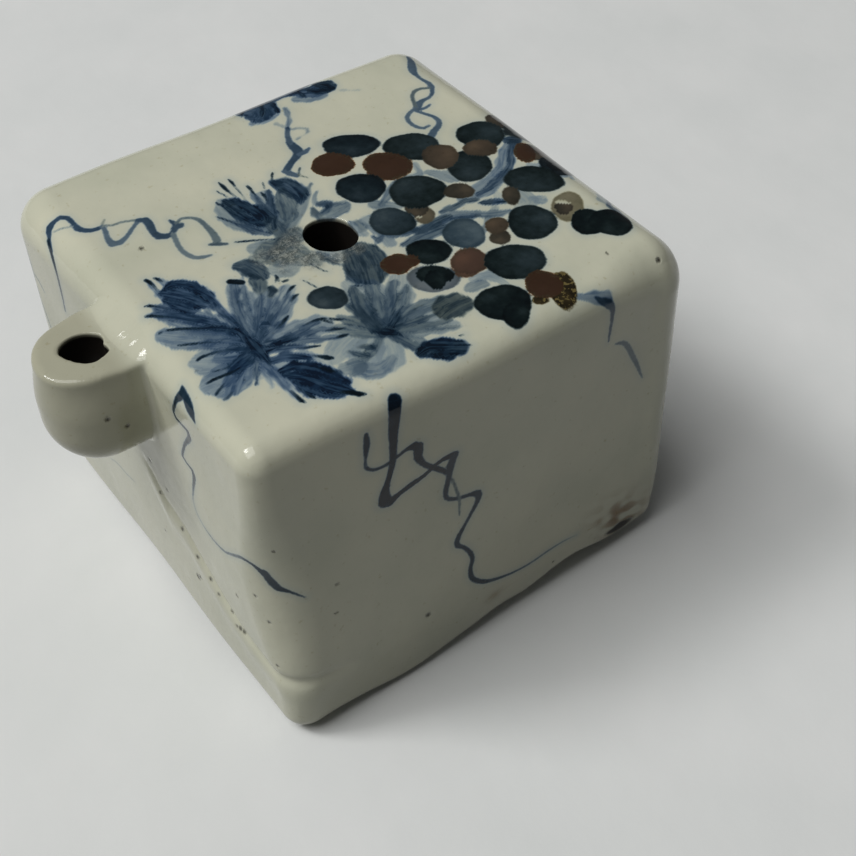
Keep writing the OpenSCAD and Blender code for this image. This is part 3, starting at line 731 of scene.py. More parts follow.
STEM = [
    (0.42, 0.14, [(27.7, -0.1, 2), (25.3, -1.4, 2.2), (23.5, -3.4, 2.1), (20.8, -5.1, 2.9),
          (17.3, -6.2, 3.2), (14.3, -6, 1.8)]),
    (0.64, 0.18, [(28.8, 0.6, 0.7), (27.3, -0.6, 1.8), (25.6, -2.1, 1.3), (23.8, -4.1, 1.1),
          (21.7, -5.2, 1.4), (18.7, -6.2, 1.4), (16.4, -6.6, 0.9)]),
    (0.74, 0.26, [(27.2, 1.1, 1.3), (27.8, 0.2, 2.4), (28.8, -0, 1.1)]),
    (0.32, 0.1, [(25.3, -0.8, 1), (23.2, -2.6, 1.2), (20.9, -4.6, 1.1)]),
    (0.49, 0.22, [(8.1, -8, 1.1), (10.9, -8, 1.8), (13.1, -9.2, 1.6), (15.5, -11, 1.6),
          (17.5, -11.7, 1)]),
    (0.64, 0.32, [(12.5, -6.7, 0.5), (14.4, -6.7, 1.1), (15.7, -7.5, 0.8)]),
    (0.81, 0.36, [(15.5, -8.1, 0.8), (16.7, -8.7, 1.5), (18.2, -9.6, 1.1)]),
    (0.59, 0.29, [(10.3, -6.7, 0.7), (12, -6.9, 1.3), (13.5, -7, 0.7, 0.8)]),
    (0.53, 0.29, [(9.9, -8.4, 0.7), (11.9, -9.2, 0.9), (13.8, -10.2, 0.7)]),
    (0.64, 0.29, [(5.3, -8.1, 1.1), (8, -8.1, 1.9), (10.5, -8, 1.1)]),
    (0.41, 0.22, [(8, -8.9, 1.1), (10.3, -9.1, 1.8), (12.9, -9.8, 1.2)]),
    (0.45, 0.26, [(9.8, 2.3, 1), (7.6, 0.8, 1.6), (5.1, -0.8, 1.1)]),
    (0.41, 0.29, [(4.3, -0.2, 2), (5.4, -1.2, 2), (6.7, -2.4, 1.2, 0.7)]),
    (0.34, 0.26, [(14.1, 1.3, 1.2), (15.3, -0.6, 2.5), (16.1, -2.3, 1.6)]),
    (0.35, 0.2, [(13.8, 3.9, 1, 0.8), (13.1, 1.7, 1.2), (11.4, 1.9, 1.2, 0.7)]),
    (0.64, 0.29, [(29.1, -17.4, 0.5), (29.3, -18.9, 1.3), (29.5, -21.4, 0.5)]),
    (0.24, 0.1, [(29, -16.2, 1.5), (29.4, -17.2, 1.8), (29.3, -18.1, 0.9, 0.7)]),
    (0.35, 0.1, [(26.1, -5.5, 1.2, 0.8), (27.1, -7.2, 2.2), (27.9, -9.4, 2.1), (29.4, -10.7, 1)]),
    (0.64, 0.14, [(27.4, -8.5, 0.4, 0.8), (28.3, -9.8, 0.7), (29.5, -10.9, 0.4)]),
    (0.14, 0.2, [(18.8, -7.3, 0.9, 0.8), (18.1, -8.9, 1.6), (17, -9.5, 0.9, 0.8)]),
    (0.27, 0.31, [(21.1, -10, 2.6, 0.9), (20.8, -11.9, 2.5), (19, -12.1, 1.6, 0.7)]),
    (0.3, 0.15, [(21.6, -11.4, 1.2), (22.2, -12.2, 2.2), (23.1, -12.1, 0.9, 0.7)]),
    (0.41, 0.29, [(11.2, -13.2, 1, 0.7), (13, -12.5, 1.2), (16.4, -10.2, 1.2, 0.6)]),
    (0.64, 0.26, [(2.7, -9.3, 1.1), (5, -9.3, 2.2), (7.4, -9.4, 2.4), (9, -9.6, 1.5)]),
    (0.7, 0.22, [(0.4, -5.7, 0.7), (0.6, -6.5, 1.4), (1.6, -6.1, 0.7)]),
    (0.66, 0.22, [(1.8, -5.8, 1.1), (2.9, -6.8, 1.7), (5.4, -7.5, 1.3)]),
    (0.41, 0.22, [(1.8, -2.8, 2.9, 0.8), (1.9, -5.3, 2.2), (1.3, -7.8, 1.8, 0.7)]),
    (0.36, 0.32, [(3.6, -20.7, 1), (4.8, -20.7, 2.2), (6, -20.9, 1.6)]),
    (0.35, 0.2, [(5.5, -19.7, 1.6, 0.7), (7.4, -20.2, 2.2), (8.1, -22.5, 1.1, 0.6)]),
    (0.3, 0.15, [(-0.6, -14.5, 0.6), (-0.8, -15.9, 1.2), (-0.4, -17.7, 1, 0.8)]),
    (0.49, 0.072, [(13.4, -29.5, 0.9), (15.2, -30.9, 1.8), (16.4, -31.8, 1.8)]),
]
BACK_LEAF = [
    (0.42, 0, [(1.4, 24.8, 1.2), (3.2, 24.4, 1.4), (5.2, 24.6, 1)]),
    (0.45, 0.1, [(9.4, 26.4, 1.4), (11.2, 25.2, 1.8), (13.4, 24.6, 1.2)]),
    (0.16, 0.3, [(15.7, 24.6, 0.5), (16.8, 23.7, 0.5), (18, 22.9, 0.3)]),
    (0.45, 0.15, [(7, 25.2, 0.9), (6.4, 23.6, 0.9), (5.4, 21.9, 0.9), (4.7, 20.9, 0.8)]),
    (0.25, 0.25, [(3.9, 22.6, 0.8), (4.2, 22, 1), (4.6, 21.2, 0.6)]),
    (0.3, 0.3, [(4.8, 20.6, 0.5), (6, 19.9, 0.5), (6.8, 19.3, 0.4), (6.4, 18.5, 0.4), (5.2, 18.1, 0.4),
          (4.2, 17.9, 0.3)]),
    (0.78, 0.1, [(1.4, 26.6, 0.9), (2.6, 25.6, 2.6), (3.6, 27, 5), (3.9, 29.2, 6.2)]),
    (0.95, 0.25, [(3.3, 25.4, 0.6), (4.2, 26.8, 1.1), (5, 28.6, 0.9)]),
    (0.95, 0.25, [(1, 27, 0.6), (1.8, 28.6, 0.9), (2.4, 30, 0.7)]),
    (0.95, 0.2, [(5.7, 24.9, 0.5), (5.9, 25.8, 0.8), (6.2, 27.2, 0.9)]),
    (0.8, 0.1, [(6, 28.6, 1.6), (8.6, 28.8, 1.8), (10.6, 28.2, 2.6)]),
    (0.76, 0.05, [(9.6, 28.2, 1.8), (11.2, 27.2, 2.8), (13, 26.6, 3.6), (14.4, 26.6, 3.4)]),
    (0.93, 0.3, [(13.8, 28, 1.4), (15, 26.8, 2.6), (15.2, 25.6, 1.4)]),
    (0.93, 0.25, [(12.2, 27.6, 1), (12.8, 26.2, 1.3), (14.4, 25.4, 1.1)]),
    (0.93, 0.2, [(10.8, 28.8, 0.8), (10.7, 27.4, 0.8), (10.9, 25.8, 0.5)]),
]

# Crisp marks on the top: the dark ends of the strokes, each run out thinly into its stroke
TIPS = [
    (0.97, 0.6, [(-26.7, 4, 0.41), (-26.5, 3.5, 0.66), (-26.4, 2.7, 0.33), (-26.4, 1.6, 0.25, 0.6)]),
    (0.92, 0.5, [(-25.6, 3.7, 0.33), (-25.4, 3.3, 0.49), (-25.2, 2.6, 0.25, 0.6)]),
    (0.92, 0.5, [(-29, -0.2, 0.33), (-28.5, -0.5, 0.49), (-27.9, -1, 0.25, 0.6),
          (-27.1, -2.1, 0.25, 0.3)]),
    (0.97, 0.5, [(-29.9, -1.8, 0.33), (-29.3, -2.1, 0.49), (-28.5, -2.8, 0.41, 0.7),
          (-27.4, -3.9, 0.25, 0.4)]),
    (0.78, 0.4, [(-30, -5.4, 0.25), (-29.7, -5.4, 0.33), (-29.6, -5.4, 0.2)]),
    (0.97, 0.5, [(-29, -5.5, 0.33), (-28.3, -5.8, 0.49), (-27.1, -6.5, 0.41, 0.8),
          (-25.5, -7.6, 0.33, 0.5), (-23.6, -8.8, 0.25, 0.3)]),
    (0.92, 0.5, [(-29.2, -8.5, 0.25), (-28.5, -8.9, 0.33), (-27.5, -9.4, 0.33, 0.8),
          (-26.2, -10.1, 0.25, 0.5), (-24.9, -10.9, 0.25, 0.3)]),
    (0.97, 0.5, [(-28.7, -12, 0.33), (-28.1, -11.8, 0.49), (-27.2, -11.9, 0.41, 0.8),
          (-26.4, -12.1, 0.33, 0.6), (-25.1, -12.7, 0.25, 0.3)]),
    (0.78, 0.4, [(-28.2, -14.7, 0.2), (-27.4, -14.9, 0.25, 0.8), (-26.3, -15.2, 0.25, 0.5)]),
    (0.97, 0.6, [(-29.7, -15.9, 0.25), (-28.8, -15.8, 0.49), (-27.8, -15.9, 0.41, 0.9),
          (-26.8, -16, 0.41, 0.7), (-25.5, -16, 0.25, 0.4)]),
    (0.78, 0.4, [(-29.9, -18.1, 0.25), (-29.3, -17.7, 0.41, 0.9), (-28.2, -17.1, 0.2, 0.6)]),
    (0.58, 0.3, [(-29.5, -19.3, 0.25, 0.8), (-29, -19.2, 0.49, 0.8), (-28.2, -18.8, 0.25, 0.5)]),
    (0.82, 0.3, [(-25.4, -19.3, 0.25), (-25.1, -19, 0.25, 0.8), (-24.6, -18.3, 0.2, 0.4)]),
    (0.97, 0.6, [(-22.5, -25, 0.25), (-22.7, -24.5, 0.57), (-22.7, -23.7, 0.41, 0.9),
          (-22.8, -22.5, 0.25, 0.5)]),
    (0.97, 0.6, [(-21.2, -25.1, 0.25), (-21.4, -24.7, 0.41), (-21.6, -24, 0.25, 0.7),
          (-21.9, -22.9, 0.2, 0.4)]),
    (0.97, 0.6, [(-16.4, -27.9, 0.33), (-17, -27.4, 0.82), (-17.6, -26.7, 0.74),
          (-18.4, -26, 0.41, 0.8)]),
    (0.95, 0.5, [(-17, -23, 0.25), (-17.4, -22.6, 0.49), (-17.8, -21.8, 0.49, 0.9),
          (-18.4, -21, 0.25, 0.5)]),
    (0.97, 0.6, [(-16.1, -20.9, 0.41), (-16.6, -20.4, 0.82), (-17, -19.9, 0.49, 0.9),
          (-17.7, -19.2, 0.25, 0.4)]),
    (0.97, 0.5, [(-16.1, -18.3, 0.25), (-16.5, -18.1, 0.33), (-17.4, -17.7, 0.33, 0.7),
          (-18.5, -17.1, 0.25, 0.4)]),
    (0.97, 0.6, [(-12.4, -18.6, 0.25), (-12.9, -18.6, 0.49), (-13.5, -18.5, 0.25, 0.7),
          (-15, -17.9, 0.2, 0.3)]),
    (0.95, 0.6, [(-12.1, -17.5, 0.25), (-12.6, -17.3, 0.41), (-13.4, -16.9, 0.33, 0.7),
          (-14.5, -16.5, 0.2, 0.3)]),
    (0.95, 0.6, [(-11.3, -16.2, 0.25), (-11.9, -15.8, 0.41), (-12.6, -15.3, 0.25, 0.6)]),
    (0.95, 0.6, [(-12.9, -14.8, 0.25), (-13.5, -14.5, 0.49), (-14.4, -14.3, 0.33, 0.8),
          (-15.8, -14.3, 0.25, 0.4)]),
    (0.95, 0.5, [(-16.3, -11.8, 0.25), (-16.9, -12.1, 0.49), (-17.6, -12.5, 0.33, 0.7),
          (-18.6, -12.9, 0.2, 0.4)]),
    (0.97, 0.6, [(-18.6, -2.3, 0.9), (-18, -2.8, 0.98), (-17.5, -3.3, 0.9)]),
    (0.87, 0.6, [(-13.6, -4.9, 0.25), (-13.8, -5.3, 0.33), (-14.2, -5.8, 0.2, 0.5)]),
    (0.95, 0.6, [(-12.6, -7.6, 0.25), (-13.1, -7.7, 0.49), (-13.9, -8.1, 0.25, 0.6),
          (-15, -8.7, 0.2, 0.3)]),
    (0.82, 0.6, [(-13.2, -9.2, 0.33, 0.8), (-13.8, -9.3, 0.49), (-14.6, -9.8, 0.25, 0.5)]),
    (0.97, 0.6, [(-9.4, 15.8, 0.25), (-9.4, 14.8, 0.57), (-9.4, 13.4, 0.41, 0.9),
          (-9.2, 11.8, 0.25, 0.6)]),
    (0.92, 0.5, [(-10.6, 14.3, 0.25), (-10.4, 13.5, 0.25), (-10.1, 12.4, 0.2, 0.8),
          (-10, 10.4, 0.2, 0.4)]),
    (0.92, 0.5, [(-11.9, 12.2, 0.25), (-11.8, 11.7, 0.41), (-11.6, 11, 0.25, 0.8),
          (-11.4, 9.2, 0.2, 0.4)]),
    (0.97, 0.6, [(-8, 15.6, 0.25), (-8, 14.9, 0.41), (-8.2, 13.6, 0.25, 0.9), (-8.3, 12, 0.2, 0.6),
          (-8.6, 10.2, 0.2, 0.3)]),
    (0.97, 0.6, [(-6.8, 13, 0.25), (-6.8, 12.3, 0.49), (-6.9, 11.4, 0.33, 0.9), (-7.2, 9.5, 0.2, 0.4)]),
    (0.87, 0.6, [(-4.8, 12.3, 0.2), (-5, 11.7, 0.25, 0.9), (-5.3, 11.1, 0.2, 0.5)]),
    (0.92, 0.5, [(-6.1, 10.6, 0.25), (-6.1, 10, 0.57), (-6.2, 9.2, 0.33, 0.8), (-6.7, 8, 0.2, 0.4)]),
    (0.97, 0.7, [(-2.6, 13.4, 0.25), (-2.9, 13, 0.33), (-3.4, 12.2, 0.25, 0.8), (-3.9, 11, 0.2, 0.4)]),
    (0.87, 0.5, [(-13.4, 9.7, 0.2), (-13.1, 9.1, 0.33), (-12.5, 7.9, 0.33, 0.8),
          (-12.1, 6.5, 0.25, 0.6),
          (-11.5, 4.9, 0.2, 0.3)]),
    (0.97, 0.55, [(-14.1, 3.8, 0.25), (-13, 3.2, 0.41), (-11.5, 2.4, 0.33, 0.9),
          (-10.3, 1.7, 0.25, 0.8),
          (-9.5, 1.1, 0.2, 0.6)]),
    (0.92, 0.7, [(-13.5, -4.6, 0.2), (-13.6, -5.2, 0.41), (-13.7, -5.8, 0.2, 0.7)]),
    (0.87, 0.7, [(-13.4, -6.2, 0.33), (-13.1, -6.2, 0.49), (-12.7, -6.2, 0.25, 0.8)]),
    (0.87, 0.6, [(-11.4, -0, 0.2), (-11.5, -0.5, 0.25, 0.7)]),
    (0.82, 0.6, [(-12.4, -1.9, 0.33), (-12.3, -2.2, 0.49, 0.9), (-12, -2.3, 0.25, 0.6)]),
    (0.78, 0.6, [(-8.9, -5.2, 0.2), (-8.6, -6.4, 0.25), (-8.3, -7.4, 0.25), (-8, -7.8, 0.2)]),
    (0.73, 0.5, [(-11.3, -7.4, 0.2), (-11, -8.4, 0.25), (-10.7, -9.5, 0.2)]),
    (0.78, 0.6, [(-7.2, -11.7, 0.2, 0.8), (-6.7, -12.1, 0.25), (-6.1, -12.5, 0.2, 0.8)]),
    (0.87, 0.6, [(-12.6, -15, 0.2), (-12, -15.6, 0.33), (-11.4, -16.1, 0.25, 0.8),
          (-10.6, -17.1, 0.2, 0.4)]),
    (0.87, 0.6, [(-13.2, -16.7, 0.2), (-12.8, -17.2, 0.33), (-12.3, -17.6, 0.25, 0.7),
          (-11.4, -18.6, 0.2, 0.3)]),
    (0.97, 0.6, [(-13.5, -18.3, 0.25), (-13, -18.4, 0.41), (-12.4, -18.6, 0.25)]),
    (0.78, 0.6, [(-13.7, -14.6, 0.25, 0.8), (-13.2, -15.1, 0.41), (-12.8, -15.9, 0.33, 0.6)]),
    (0.78, 0.6, [(-11.8, -16.8, 0.2, 0.7), (-11.3, -17.4, 0.33, 0.7), (-10.6, -18.3, 0.2, 0.4)]),
    (0.78, 0.5, [(-5, -18.7, 0.2, 0.6), (-5.5, -19.1, 0.25, 0.9), (-6.5, -19.8, 0.2, 0.5)]),
    (0.92, 0.6, [(-3.1, -27.8, 0.25), (-2.6, -28.2, 0.33), (-2, -28.6, 0.2)]),
    (0.87, 0.6, [(-2.1, -26.6, 0.25), (-1.7, -26.7, 0.25), (-1.5, -26.7, 0.2)]),
    (0.78, 0.5, [(1, 12.2, 0.25), (0.6, 11.8, 0.29), (0.1, 11.1, 0.25, 0.6)]),
    (0.48, 0.5, [(0.7, 9.6, 0.2), (0.3, 10.2, 0.29), (0, 10.9, 0.33)]),
]
# Crisp strokes with their plane
TENDRILS = [
    ("top", 0.72, 0.2, [(3.0, 18.0, 1.0), (2.9, 16.6, 1.5), (2.8, 15.4, 1.5), (2.0, 14.6, 1.2),
          (0.6, 13.8, 1.0), (-0.6, 12.9, 1.1), (-1.1, 12.4, 0.7)]),
    ("top", 0.62, 0.15, [(4.6, 20.9, 0.7), (3.7, 19.5, 0.8), (3.0, 17.8, 0.9)]),
    ("top", 0.62, 0.1, [(4.4, 15.2, 0.5), (3.6, 14.8, 0.9), (2.6, 14.8, 0.9)]),
    ("top", 0.62, 0.15, [(-1.2, 12.8, 0.7), (-0.8, 11.9, 1.1), (-0.3, 10.9, 0.8)]),
    ("top", 0.74, 0.15, [(-33.4, 15.8, 0.6), (-32.7, 17.8, 0.6), (-32.1, 19.2, 0.9),
          (-31.5, 20.3, 1.25), (-30.4, 21.1, 0.8), (-29.5, 21.4, 0.8), (-28.8, 20.8, 0.8),
          (-28.7, 19.4, 0.7), (-28.7, 18.0, 1.0), (-28.0, 17.0, 0.9), (-27.0, 16.5, 0.8),
          (-26.0, 16.5, 0.8)]),
    ("top", 0.32, 0.15, [(-31.4, 19.2, 0.3), (-30.2, 19.2, 0.35), (-29.0, 18.7, 0.35)]),
    ("top", 0.55, 0.15, [(-26.0, 16.6, 0.7), (-26.2, 15.3, 0.7), (-26.6, 14.0, 0.8), (-26.6, 12.6, 1.2),
          (-25.8, 12.3, 1.0), (-24.5, 12.9, 0.7), (-23.3, 13.8, 0.6), (-22.3, 14.5, 0.6),
          (-21.6, 14.9, 0.8)]),
    ("top", 0.38, 0.25, [(-25.8, 16.6, 0.5), (-24.8, 16.0, 0.45), (-23.6, 15.9, 0.45),
          (-22.5, 15.4, 0.5), (-21.6, 15.0, 0.6)]),
    ("top", 0.24, 0.25, [(-25.8, 17.0, 0.4), (-25.2, 17.6, 0.4)]),
    ("top", 0.70, 0.2, [(-21.8, 15.0, 0.8), (-21.0, 14.5, 1.1), (-21.1, 13.0, 1.2), (-21.4, 11.6, 1.0),
          (-21.2, 10.5, 1.3), (-20.5, 10.0, 1.1), (-19.7, 10.0, 0.8), (-18.8, 10.7, 0.9),
          (-18.3, 11.4, 1.0), (-18.6, 12.6, 0.4)]),
    ("top", 0.66, 0.2, [(-18.9, 10.8, 0.9), (-18.0, 10.8, 1.0), (-17.7, 11.0, 0.6)]),
    ("top", 0.46, 0.2, [(-19.6, 9.8, 0.8), (-20.0, 8.2, 0.75), (-20.3, 6.5, 0.75), (-20.1, 5.0, 0.8),
          (-19.5, 4.0, 0.75), (-18.7, 3.6, 0.7), (-17.8, 3.4, 0.4)]),
    ("top", 0.48, 0.25, [(-18.2, 11.5, 0.5), (-17.2, 12.0, 0.5), (-16.1, 11.4, 0.55),
          (-15.5, 10.4, 0.7), (-15.4, 8.6, 0.8), (-15.5, 6.8, 1.0), (-15.8, 5.4, 1.1)]),
    ("top", 0.62, 0.3, [(-16.9, 5.3, 0.5), (-16.0, 4.7, 0.7), (-15.1, 4.1, 0.5)]),
    ("top", 0.60, 0.15, [(28.9, 25.8, 0.8), (28.5, 24.6, 1.1), (27.7, 23.3, 1.4), (27.1, 22.2, 1.2),
          (26.9, 21.1, 0.7), (26.9, 19.6, 0.6), (27.1, 18.4, 0.8), (26.8, 17.3, 0.9)]),
    ("top", 0.62, 0.15, [(26.9, 17.4, 0.8), (26.0, 16.1, 0.65), (24.9, 15.4, 0.6), (23.5, 15.3, 0.9),
          (22.4, 14.7, 1.3), (21.6, 14.0, 1.1)]),
    ("top", 0.50, 0.35, [(26.4, 17.3, 0.5), (25.4, 17.9, 0.6), (24.2, 17.9, 0.7), (23.1, 17.0, 0.6),
          (22.4, 15.6, 0.6), (22.0, 14.8, 0.6)]),
    ("top", 0.60, 0.1, [(22.0, 13.7, 0.6), (22.9, 13.6, 0.6), (24.0, 13.9, 0.35)]),
    ("top", 0.56, 0.15, [(21.8, 14.3, 0.7), (20.6, 14.0, 0.7), (19.4, 13.2, 0.7), (19.0, 12.0, 0.7),
          (19.1, 10.7, 0.7), (19.8, 9.7, 0.6), (20.7, 9.8, 0.5)]),
    ("top", 0.60, 0.15, [(21.4, 14.0, 0.7), (21.9, 12.6, 0.6), (22.5, 11.3, 0.65), (22.5, 10.0, 0.8),
          (21.8, 9.0, 0.9), (20.6, 8.4, 1.1), (19.4, 7.6, 1.2)]),
    ("front", 0.94, 0.3, [(-19.2, 49.8, 0.5), (-19.2, 48.2, 0.9), (-19.5, 46.0, 0.4),
          (-19.5, 44.6, 0.45), (-18.5, 43.6, 0.45), (-17.0, 43.3, 0.5), (-15.4, 43.6, 0.5),
          (-14.0, 44.0, 0.6), (-12.6, 44.1, 0.8)]),
    ("front", 1.0, 0.3, [(-15.2, 52.6, 1.7), (-15.3, 50.4, 1.6), (-15.6, 47.6, 1.3), (-15.7, 45.0, 1.0),
          (-16.0, 42.6, 0.9), (-16.7, 40.4, 0.8), (-17.2, 38.8, 1.4), (-17.2, 37.3, 1.9),
          (-16.6, 36.8, 1.4), (-15.2, 37.3, 0.8), (-13.4, 37.7, 0.9), (-11.6, 38.0, 0.7),
          (-10.4, 38.5, 0.6), (-8.8, 39.0, 0.7), (-7.2, 38.8, 1.1)]),
    ("front", 0.97, 0.35, [(-13.4, 44.0, 0.8), (-12.2, 43.4, 1.4), (-12.3, 41.8, 1.2),
          (-11.6, 40.2, 0.8), (-10.4, 38.8, 0.8), (-9.0, 37.4, 0.8), (-8.0, 36.2, 0.7)]),
    ("front", 0.86, 0.3, [(-6.8, 38.7, 1.0), (-7.5, 37.4, 1.3), (-7.8, 35.4, 0.9), (-8.3, 33.2, 0.8),
          (-8.2, 31.8, 0.7), (-7.2, 30.9, 0.6), (-5.8, 30.3, 0.6), (-4.4, 29.9, 0.7), (-3.3, 29.3, 1.2),
          (-3.2, 28.2, 0.9), (-4.2, 26.4, 0.6), (-5.5, 24.4, 0.6), (-6.5, 22.7, 0.9), (-6.5, 21.5, 0.8),
          (-5.6, 20.5, 0.6), (-4.6, 18.9, 0.7), (-4.0, 17.0, 0.7), (-4.3, 15.2, 0.7), (-4.2, 13.4, 0.8),
          (-3.3, 11.8, 0.8), (-1.7, 10.3, 0.75), (0.5, 9.3, 0.6, 0.9), (3.3, 8.5, 0.5, 0.75),
          (6.4, 8.2, 0.5, 0.6), (9.6, 8.5, 0.5, 0.5), (12.6, 8.5, 0.4, 0.35), (15.0, 8.1, 0.3, 0.2)]),
    ("front", 0.50, 0.3, [(-7.3, 34.6, 0.4), (-6.7, 32.4, 0.45), (-6.2, 30.2, 0.45), (-6.2, 28.6, 0.35),
          (-6.2, 27.2, 0.25)]),
    ("front", 0.66, 0.2, [(14.2, 52.2, 0.4), (15.4, 51.0, 1.0), (16.6, 50.0, 1.3), (17.3, 48.9, 0.9),
          (17.4, 47.2, 0.6), (17.3, 45.4, 0.5), (17.2, 43.6, 0.3)]),
    ("front", 0.50, 0.2, [(18.5, 42.5, 0.3), (19.8, 42.0, 0.7), (20.8, 40.8, 0.8), (21.8, 38.8, 0.85),
          (22.8, 36.8, 0.7), (23.6, 35.0, 0.5), (24.3, 33.4, 0.25)]),
    ("left", 0.86, 0.35, [(16.6, 53.2, 0.3), (16.2, 51.8, 1.1), (15.4, 50.6, 1.2), (14.4, 49.4, 0.8),
          (13.4, 47.6, 0.6), (12.7, 46.0, 0.5), (13.0, 45.2, 0.5), (14.6, 45.2, 0.5), (15.8, 45.2, 0.7),
          (16.0, 44.4, 0.8), (15.3, 43.2, 0.7), (14.3, 41.8, 0.5), (13.4, 39.9, 0.45),
          (12.8, 38.4, 0.45), (13.6, 37.9, 0.4), (15.0, 37.8, 0.5), (15.2, 36.9, 0.7),
          (14.8, 35.4, 0.6), (14.0, 33.0, 0.35, 0.8), (13.5, 31.0, 0.3, 0.5), (13.8, 29.0, 0.25, 0.4),
          (15.2, 27.6, 0.3, 0.5), (17.5, 27.1, 0.35, 0.7), (20.2, 27.6, 0.35, 0.8),
          (22.5, 29.2, 0.4, 0.9), (24.7, 31.0, 0.45), (27.6, 32.7, 0.5), (29.4, 33.4, 0.8),
          (30.6, 33.9, 1.0)]),
    ("left", 0.86, 0.3, [(16.6, 53.2, 0.3), (17.0, 51.8, 1.0), (17.5, 50.6, 1.3), (18.0, 49.6, 0.9),
          (18.3, 48.8, 0.3)]),
    ("front", 0.8, 0.4, [(-33.9, 36.9, 0.95), (-33.2, 34.6, 1.2), (-32.4, 32.8, 1.0),
          (-31.3, 31.4, 0.5), (-30.4, 30.2, 0.35), (-29.2, 28.6, 0.2)]),
    ("left", 0.86, 0.4, [(-17.4, 51.6, 0.6), (-17.3, 47.0, 0.6), (-17.4, 43.0, 0.5),
          (-17.8, 39.6, 0.3)]),
    ("left", 0.34, 0.25, [(-27.6, 45.0, 0.3), (-27.3, 40.6, 0.6), (-27.4, 36.4, 0.5),
          (-26.6, 32.4, 0.4), (-25.6, 29.0, 0.25)]),
    ("left", 0.28, 0.2, [(-27.2, 39.8, 0.4), (-25.8, 39.2, 0.5), (-24.6, 38.0, 0.35)]),
    ("left", 0.22, 0.15, [(-14.6, 13.6, 0.25), (-12, 14.8, 0.4), (-9, 15.2, 0.4), (-6.4, 15.9, 0.25)]),
]
# The unseen faces: the back leaf's tips hang over the edge, with a tendril, and a few more
BEHIND = [
    ("back", 0.80, 0.1, [(3.8, 51.4, 4.2), (3.6, 48.6, 3.2), (3.3, 46.4, 0.8)]),
    ("back", 0.80, 0.1, [(12.4, 51.4, 4.0), (12.8, 49.0, 2.8), (13.3, 47.0, 0.7)]),
    ("back", 0.86, 0.2, [(8.2, 51.0, 2.4), (8.0, 47.6, 2.6), (7.7, 44.6, 0.6)]),
    ("back", 0.95, 0.4, [(2.0, 46.8, 0.3), (2.1, 45.6, 0.5), (2.2, 44.6, 0.3)]),
    ("back", 0.95, 0.4, [(5.2, 46.0, 0.3), (5.3, 44.8, 0.5), (5.3, 43.6, 0.3)]),
    ("back", 0.95, 0.4, [(10.6, 45.9, 0.3), (10.7, 44.7, 0.5), (10.8, 43.8, 0.3)]),
    ("back", 0.95, 0.4, [(15.2, 46.6, 0.3), (15.6, 45.6, 0.5), (15.9, 44.8, 0.3)]),
    ("back", 0.55, 0.2, [(7.8, 44.4, 0.7), (7.2, 40.6, 0.8), (5.4, 37.0, 0.6), (6.6, 34.4, 0.7),
          (9.0, 33.6, 0.9), (9.6, 31.2, 0.6), (7.4, 28.6, 0.5), (4.2, 27.8, 0.6), (2.2, 25.4, 0.9),
          (3.4, 22.6, 0.6), (6.2, 20.8, 0.4), (8.0, 17.6, 0.3, 0.7)]),
    ("back", 0.45, 0.2, [(-17.2, 51.6, 0.5), (-17.0, 47.4, 0.9), (-18.6, 44.2, 0.6), (-17.8, 41.0, 0.7),
          (-15.4, 39.4, 0.5), (-15.8, 36.0, 0.3, 0.7)]),
    ("right", 0.60, 0.15, [(24.6, 51.6, 0.8), (23.4, 48.6, 1.1), (24.2, 45.4, 0.7), (22.2, 42.8, 0.6),
          (19.8, 42.2, 0.9), (18.4, 39.4, 0.6), (19.4, 36.2, 0.5), (17.0, 33.8, 0.3, 0.7)]),
    ("right", 0.62, 0.3, [(-19.0, 51.6, 0.9), (-19.6, 48.4, 0.8), (-17.8, 45.6, 0.6),
          (-18.6, 42.6, 0.9), (-20.6, 40.2, 0.6), (-19.8, 36.8, 0.3, 0.7)]),
]

# The fruit's pigments as shares of cobalt, iron and copper
PIGMENTS = {
    "ink": (0.76, 0.7, 0.05),
    "deep_ink": (0.85, 0.8, 0.05),
    "navy": (0.86, 0.6, 0.1),
    "slate": (0.72, 0.55, 0.05),
    "blue": (0.65, 0.4, 0.0),
    "lilac": (0.5, 0.15, 0.15),
    "red_copper": (0.2, 0.3, 0.95),
    "rose_copper": (0.3, 0.1, 0.65),
    "tobacco": (0.4, 0.4, 0.45),
    "moss": (0.5, 0.5, 0.35),
    "soot": (0.3, 0.95, 0.35),
    "gold": (0.3, 0.5, 0.25),
    "straw": (0.2, 0.55, 0.15),
    "bare": (0.05, 0.15, 0.0),
}
